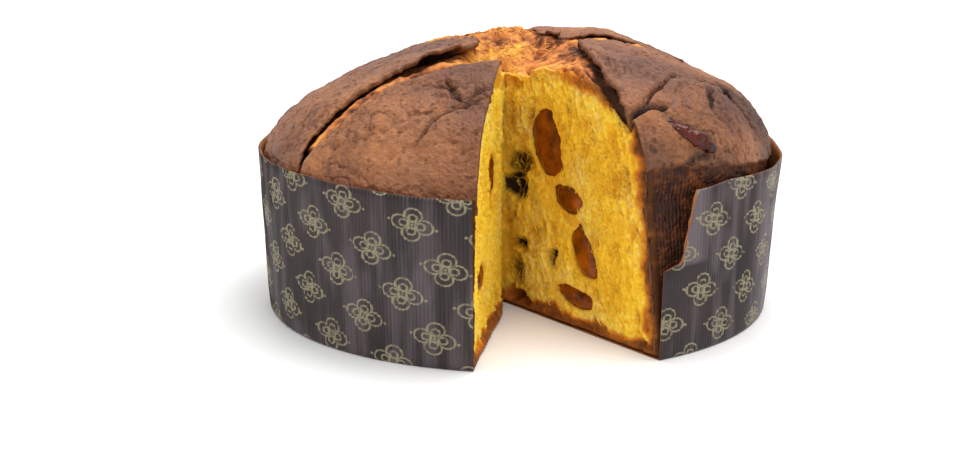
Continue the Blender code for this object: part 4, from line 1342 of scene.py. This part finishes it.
def make_crumb(face, finish):
    """One cut face of the crumb, as a slab: a sheet spanned between the four curves of its outline,
    pushed in by the relief, with bowls where the fruit sits, closed behind."""
    columns, rows = 300, 315
    base, outside, top_line, upright = face_edges(face, columns, rows)
    s = np.linspace(0.0, 1.0, columns)[None, :, None]
    t = np.linspace(0.0, 1.0, rows)[:, None, None]
    sheet = ((1 - t) * base[None] + t * top_line[None] + (1 - s) * upright[:, None] + s * outside[:, None]
             - (1 - s) * (1 - t) * base[0] - s * (1 - t) * base[-1]
             - (1 - s) * t * top_line[0] - s * t * top_line[-1])
    run, into = face_frame(face)
    along = (sheet[..., :2] - CUT) @ run[:2]
    height = sheet[..., 2]
    low = height - BASE_Z
    outer = np.linalg.norm(sheet - outside[:, None], axis=-1)
    upper = np.linalg.norm(sheet - top_line[None], axis=-1)
    edge = np.minimum(np.minimum(outer, upper), low)
    depth, shade, hole = crumb_relief(face, along, height, edge)
    for spec in FACE_FRUIT:
        if spec[1] == face:
            near = fruit_outline(spec, along, height)
            near = near * (1.0 + 0.10 * noise(along, height, along * 0, 0.0036, 35))
            seat = 1.0 - smooth(0.94, 1.08, near)
            depth = depth * (0.25 + 0.75 * smooth(1.0, 1.5, near))
            depth = depth * (1.0 - seat) + seat * FRUIT_SEAT
            # Painted shade in the gap round the fruit
            shade = shade + 0.5 * (1.0 - smooth(1.0, 1.5, near))
    depth = depth + face_bow(face, along) * smooth(0.0, 0.004, edge)
    grid = sheet + into * depth[..., None]
    baked = crumb_baked(along, height, outer, upper, low)
    if face == "left":
        grid = grid[:, ::-1]
        baked, shade, hole = baked[:, ::-1], shade[:, ::-1], hole[:, ::-1]
    loop = border(rows, columns)
    here = grid.reshape(-1, 3)[loop]
    middle = grid.mean(axis=(0, 1))
    inward = unit(middle - here)
    rings = [here + into * 0.0022 + inward * 0.0003, here + into * 0.0050 + inward * 0.0020,
             here + into * 0.012 + (middle - here) * 0.25]
    centre = middle + into * 0.013
    edge_baked = baked.ravel()[loop]
    # deep and the hollow mark carry the painted shade of the crumb
    points, quads, tris, marks = capped(
        grid, rings, centre, {"baked": baked, "deep": np.clip(shade, 0, 2), "hole": hole},
        {"baked": [edge_baked] * 3, "deep": [0.5] * 3, "hole": [0.0] * 3})
    return mesh_piece("crumb_" + face, points, quads, tris, finish, marks)


def make_side(finish):
    """The side and base of the loaf: a ribbed wall with the print of the pleats, set back under the
    shoulder, closed over the base and inside."""
    columns = 1400
    bearing = np.linspace(rim_bearing(RIGHT_CUT, LOAF_RADIUS) + 0.0014 / LOAF_RADIUS,
                          rim_bearing(LEFT_CUT, LOAF_RADIUS) - 0.0028 / LOAF_RADIUS, columns)
    heights = np.concatenate([[0.0, 0.0006, 0.0018], np.linspace(0.005, 0.0620, 17)]) + BASE_Z
    inset = np.concatenate([[0.0016, 0.0004, 0.0], 0.0022 * smooth(0.040, 0.062, heights[3:])])
    bearing = bearing[None, :]
    heights = heights[:, None]
    inset = inset[:, None] + UNDER_FLAP * (1.0 - smooth(*UNDER_FLAP_TO, bearing))
    grid = side_point(bearing + 0.0 * heights, heights + 0.0 * bearing, inset)
    pleat = np.sin(PLEATS * bearing + 0.8 * noise(bearing * 0.1, heights, bearing * 0, 0.012, 51))
    lumps = rough(grid[..., 0], grid[..., 1], grid[..., 2], 0.007, 3, 52)
    push = 0.00022 * pleat * smooth(0.001, 0.004, heights) + 0.0005 * lumps * smooth(0.001, 0.006, heights)
    out = np.stack([np.cos(bearing), np.sin(bearing), 0.0 * bearing], -1)
    grid = grid - out * (0.0002 + np.abs(push) - push)[..., None]
    loop = border(*grid.shape[:2])
    here = grid.reshape(-1, 3)[loop]
    middle = np.array([*(CUT + 0.045 * AWAY), 0.030])
    points, quads, tris, _ = capped(grid, [middle + (here - middle) * 0.88], middle, {}, {})
    return mesh_piece("side_crust", points, quads, tris, finish)


def ball(rings, sides):
    """Directions to the points of a ball, row by row from its low pole, with quads and end fans."""
    tilt = math.pi * np.arange(1, rings) / rings
    turn = 2.0 * math.pi * np.arange(sides) / sides
    body = np.stack([np.sin(tilt)[:, None] * np.cos(turn)[None],
                     np.sin(tilt)[:, None] * np.sin(turn)[None],
                     np.repeat(-np.cos(tilt)[:, None], sides, 1)], -1).reshape(-1, 3)
    points = np.concatenate([[[0.0, 0.0, -1.0]], body, [[0.0, 0.0, 1.0]]])
    side = np.arange(sides)
    after = (side + 1) % sides
    row = 1 + np.arange(rings - 2)[:, None] * sides
    quads = np.stack([row + side, row + after, row + sides + after, row + sides + side], -1).reshape(-1, 4)
    last = 1 + (rings - 2) * sides
    tris = np.concatenate([np.stack([0 * side, 1 + after, 1 + side], -1),
                           np.stack([0 * side + len(points) - 1, last + side, last + after], -1)])
    return points, quads, tris


def make_face_fruit(finish):
    """Candied fruit in the cut faces: a lumpy ball stretched to its half sizes, bent and turned, and
    flattened where the knife went through."""
    for spec in FACE_FRUIT:
        name, face, at, up_at, wide, high, deep, turn, bend = spec
        run, into = face_frame(face)
        points, quads, tris = ball(72, 96)
        centre = np.array([CUT[0], CUT[1], 0.0]) + at * run + up_at * UP
        lump = 1.0 + 0.07 * np.sin(3.0 * points[:, 0] + 5.0 * points[:, 2] + 40.0 * at)
        lump = lump + 0.20 * rough(points[:, 0], points[:, 1], points[:, 2] + 9.0 * at, 0.9, 3, 81)
        u, v, w = wide * lump * points[:, 0], high * lump * points[:, 2], deep * lump * points[:, 1]
        u = u + bend * wide * (v / high) ** 2
        across = u * math.cos(turn) - v * math.sin(turn)
        climb = u * math.sin(turn) + v * math.cos(turn)
        bow = LEFT_BOW * math.sin(math.pi * at / LOAF_RADIUS) if face == "left" else 0.0
        skin = 0.0008 * rough(across, climb, across * 0, 0.0045, 3, 82) + 0.0004
        rim = smooth(0.55, 1.0, np.hypot(u / wide, v / high))
        w = np.maximum(w, skin + 0.0012 * rim + bow)
        place = centre + across[:, None] * run + climb[:, None] * UP + w[:, None] * into
        if face == "left":
            quads, tris = quads[:, ::-1], tris[:, ::-1]
        mesh_piece(name + "_dressed", place, quads, tris, finish, None, (name,))


def make_crust_fruit(finish):
    """The dark glossy fruit that lies in a crease of the crust: a lumpy ball drawn out between its
    two ends, pinched along its length."""
    points, quads, tris = ball(90, 64)
    start, end = CRUST_FRUIT_ENDS
    half = 0.5 * (end - start)
    length = np.linalg.norm(half)
    run = half / length
    side = unit(np.cross(UP, run))
    up = np.cross(run, side)
    lump = 1.0 + 0.36 * rough(points[:, 0], points[:, 1], points[:, 2] * 3.0, 0.8, 3, 83)
    pinch = 1.0 - 0.10 * np.sin(5.0 * points[:, 2] + 0.6) ** 2
    radius = CRUST_FRUIT_RADIUS * lump * pinch * (0.86 + 0.16 * points[:, 2])
    place = (0.5 * (start + end) - CRUST_FRUIT_SUNK * UP + (points[:, 2] * length)[:, None] * run
             + (points[:, 0] * radius)[:, None] * side + (points[:, 1] * radius)[:, None] * up)
    mesh_piece("fruit_crust_dressed", place, quads, tris, finish, None, ("fruit_crust",))


def case_rows():
    """Heights of the case's rows, closer where it is torn off, and the share of the radius of each: the
    first three run over the bottom, from its middle to its edge."""
    heights = np.concatenate([[0.0, 0.0, 0.0, 0.0006], np.linspace(0.003, TEAR_Z, 7),
                              np.linspace(TEAR_Z + 0.0008, TEAR_Z + TEAR_RISE, 4),
                              np.linspace(TEAR_Z + TEAR_RISE + 0.003, CASE_HEIGHT, 9)])
    shares = np.ones(len(heights))
    shares[:3] = (0.0, 0.5, BASE_EDGE)
    return heights, shares[:, None]


def case_surface(heights, shares, columns):
    """Bearing, radius and height of each point of the outer skin. Columns run evenly from the right cut
    to the left one, and over the tear the first few are squeezed to the free edge. The rim waves, dips
    at the free edge, and sags and flares at the right; the wall has pleats and soft folds."""
    end = rim_bearing(LEFT_CUT, CASE_RADIUS)
    cut = rim_bearing(RIGHT_CUT, CASE_RADIUS)
    torn = smooth(TEAR_Z, TEAR_Z + TEAR_RISE, heights)
    free = FREE_EDGE_LOW + (FREE_EDGE_HIGH - FREE_EDGE_LOW) * heights / CASE_HEIGHT
    begin = (cut + (free - cut) * torn)[:, None]
    tearing = (torn * (1.0 - torn) * 4.0)[:, None]
    share_round = np.linspace(0.0, 1.0, columns)[None, :]
    bearing = cut + (end - cut) * share_round + (begin - cut) * (1.0 - smooth(0.0, SQUEEZED, share_round))
    z = heights[:, None] + 0.0 * bearing
    flared = np.exp(-((bearing - FLARE_AT) / FLARE_WIDTH) ** 2)
    dip = RIM_DIP * np.exp(-((bearing - FREE_EDGE_HIGH) / 0.12) ** 2)
    rim_wave = 0.0006 * np.sin(5.0 * bearing + 1.0) - dip - RIM_SAG * flared
    z = z + smooth(0.5 * CASE_HEIGHT, CASE_HEIGHT, z) * rim_wave
    ragged = smooth(0.0, 1.0, tearing) * (1.0 - smooth(0.0, 0.5 * SQUEEZED, share_round))
    z = z + 0.0009 * noise(bearing * 0.1, z * 0, z * 0, 0.0022, 91) * ragged
    climb = z / CASE_HEIGHT
    curl = BASE_CURL * (0.5 - 0.5 * np.cos(BASE_FEET * bearing))
    z = z + np.where(shares == BASE_EDGE, curl, 0.0)
    arc = bearing * CASE_RADIUS
    fold = noise(arc + 0.25 * z, z * 0.25, z * 0, 0.014, 92)
    fold = fold + 0.5 * noise(arc - 0.5 * z, z * 0.3, z * 0, 0.006, 93)
    sheared = tearing * (1.0 - smooth(0.6 * SQUEEZED, SQUEEZED, share_round))
    pleat = np.sin(PLEATS * bearing + 0.5 * noise(arc, z, z * 0, 0.010, 94)) * (1.0 - 0.9 * sheared)
    wall_on = smooth(0.0008, 0.0050, z)
    radius = (CASE_RADIUS + CASE_SPREAD * climb + FLARE * flared * climb ** 1.2
              + wall_on * (PLEAT_DEPTH * pleat + 0.00045 * fold * climb))
    return bearing, radius, z


def make_case(finish):
    """The paper case: an outer and an inner skin, each a fan over the middle of the bottom and a grid up
    the wall, joined at the rim and at both torn ends."""
    columns = int(PLEATS * COLUMNS_A_PLEAT * PLEATED_SHARE)
    heights, shares = case_rows()
    bearing, radius, z = case_surface(heights, shares, columns)
    rows = len(heights)
    each = 1 + (rows - 1) * columns
    points = []
    for inner in (0.0, CASE_WALL):
        reach = radius - inner * (shares > 0.98)
        floor = np.where(heights[:, None] < 0.001, inner, 0.0)
        skin = np.stack([(1.0 - shares) * VERTEX[0] + shares * reach * np.cos(bearing),
                         (1.0 - shares) * VERTEX[1] + shares * reach * np.sin(bearing), z + floor], -1)
        points += [skin[0, :1], skin[1:].reshape(-1, 3)]
    outer = np.concatenate([np.zeros((1, columns), int),
                            1 + np.arange((rows - 1) * columns).reshape(rows - 1, columns)])
    inner = outer + each
    body = grid_quads(rows - 1, columns, 1)
    rim = np.stack([outer[-1, :-1], outer[-1, 1:], inner[-1, 1:], inner[-1, :-1]], -1)
    start = np.stack([outer[:-1, 0], outer[1:, 0], inner[1:, 0], inner[:-1, 0]], -1)
    stop = np.stack([inner[:-1, -1], inner[1:, -1], outer[1:, -1], outer[:-1, -1]], -1)
    quads = np.concatenate([body, (body + each)[:, [0, 3, 2, 1]], rim, start, stop])
    fan = np.stack([outer[0, :-1], outer[1, 1:], outer[1, :-1]], -1)
    inner_fan = np.stack([inner[0, :-1], inner[1, :-1], inner[1, 1:]], -1)
    bare = np.zeros((rows - 1, columns))
    bare[heights[1:] > TEAR_Z, :TAN_COLUMNS] = 1.0
    around = np.concatenate([[0.0], (bearing * CASE_RADIUS)[1:].ravel()])
    marks = {"around": np.tile(around, 2),
             "height": np.tile(np.concatenate([[0.0], z[1:].ravel()]), 2),
             "inside": np.concatenate([[0.0], bare.ravel(), np.ones(each)])}
    return mesh_piece("case_printed", np.concatenate(points), quads, np.concatenate([fan, inner_fan]),
                      finish, marks, ("paper_case",))


# Stage, light and camera

def make_stage():
    """A plain pale floor."""
    floor = bpy.data.meshes.new("floor")
    half = 3.0
    floor.from_pydata([(-half, -half, 0.0), (half, -half, 0.0), (half, half, 0.0), (-half, half, 0.0)],
                      [], [(0, 1, 2, 3)])
    made = Finish("studio_floor", 0.6, Specular_IOR_Level=0.2)
    made.shader.inputs["Base Color"].default_value = (0.93, 0.93, 0.92, 1.0)
    floor.materials.append(made.material)
    piece = bpy.data.objects.new("floor", floor)
    bpy.context.scene.collection.objects.link(piece)


def area_light(name, place, size, power, colour):
    """A soft rectangular light that looks at the middle of the loaf: it tilts from straight down by the
    angle of its way, and turns to it."""
    data = bpy.data.lights.new(name, "AREA")
    data.shape = "RECTANGLE"
    data.size, data.size_y = size
    data.energy = power
    data.color = colour
    lamp = bpy.data.objects.new(name, data)
    lamp.location = place
    way = LIGHT_AIM - np.array(place)
    lamp.rotation_euler = (math.acos(-way[2] / np.linalg.norm(way)), 0.0, math.atan2(way[0], -way[1]))
    bpy.context.scene.collection.objects.link(lamp)


def make_lights():
    """A pale world, and three soft lights: over the loaf, from the left front and from the right."""
    world = bpy.data.worlds.new("studio")
    bpy.context.scene.world = world
    world.use_nodes = True
    world.node_tree.nodes["Background"].inputs["Color"].default_value = (1.0, 1.0, 1.0, 1.0)
    world.node_tree.nodes["Background"].inputs["Strength"].default_value = 0.95
    area_light("top", (0.25, 0.10, 1.10), (1.0, 0.8), 11.5, (1.0, 0.99, 0.98))
    area_light("front_left", (-0.75, -0.85, 0.65), (0.7, 0.7), 17.0, (1.0, 0.98, 0.95))
    area_light("right", (0.95, -0.25, 0.55), (0.6, 0.6), 7.0, (1.0, 0.98, 0.95))


def make_camera():
    """Looks down by the photograph's pitch from its distance, with the aim off the axis."""
    data = bpy.data.cameras.new("photo_camera")
    data.sensor_width = 36.0
    data.lens = FOCAL_PIXELS / PHOTO_WIDTH * data.sensor_width
    data.clip_start = 0.01
    camera = bpy.data.objects.new("photo_camera", data)
    sine, cosine = math.sin(CAMERA_PITCH), math.cos(CAMERA_PITCH)
    camera.location = (CAMERA_X, CAMERA_RISE * sine - CAMERA_DISTANCE * cosine,
                       CAMERA_RISE * cosine + CAMERA_DISTANCE * sine)
    camera.rotation_euler = (0.5 * math.pi - CAMERA_PITCH, 0.0, 0.0)
    bpy.context.scene.collection.objects.link(camera)
    bpy.context.scene.camera = camera


def main():
    """Makes the camera, the stage and every piece with its finish."""
    bpy.context.scene.view_settings.view_transform = "Standard"
    make_camera()
    make_stage()
    make_lights()
    crust = crust_finish()
    crumb = crumb_finish()
    make_flaps(crust)
    torn = torn_finish()
    make_torn_middle(torn)
    make_torn_strands(torn)
    for face in ("right", "left"):
        make_crumb(face, crumb)
        make_crumb_strands(face, crumb)
    make_side(side_finish())
    make_face_fruit(fruit_finish("candied_peel", tone(84, 34, 2), tone(168, 86, 8), 0.30, 0.30))
    make_crust_fruit(fruit_finish("baked_fruit", tone(40, 8, 2), tone(98, 27, 9), 0.12, 0.30))
    make_case(paper_finish())


main()
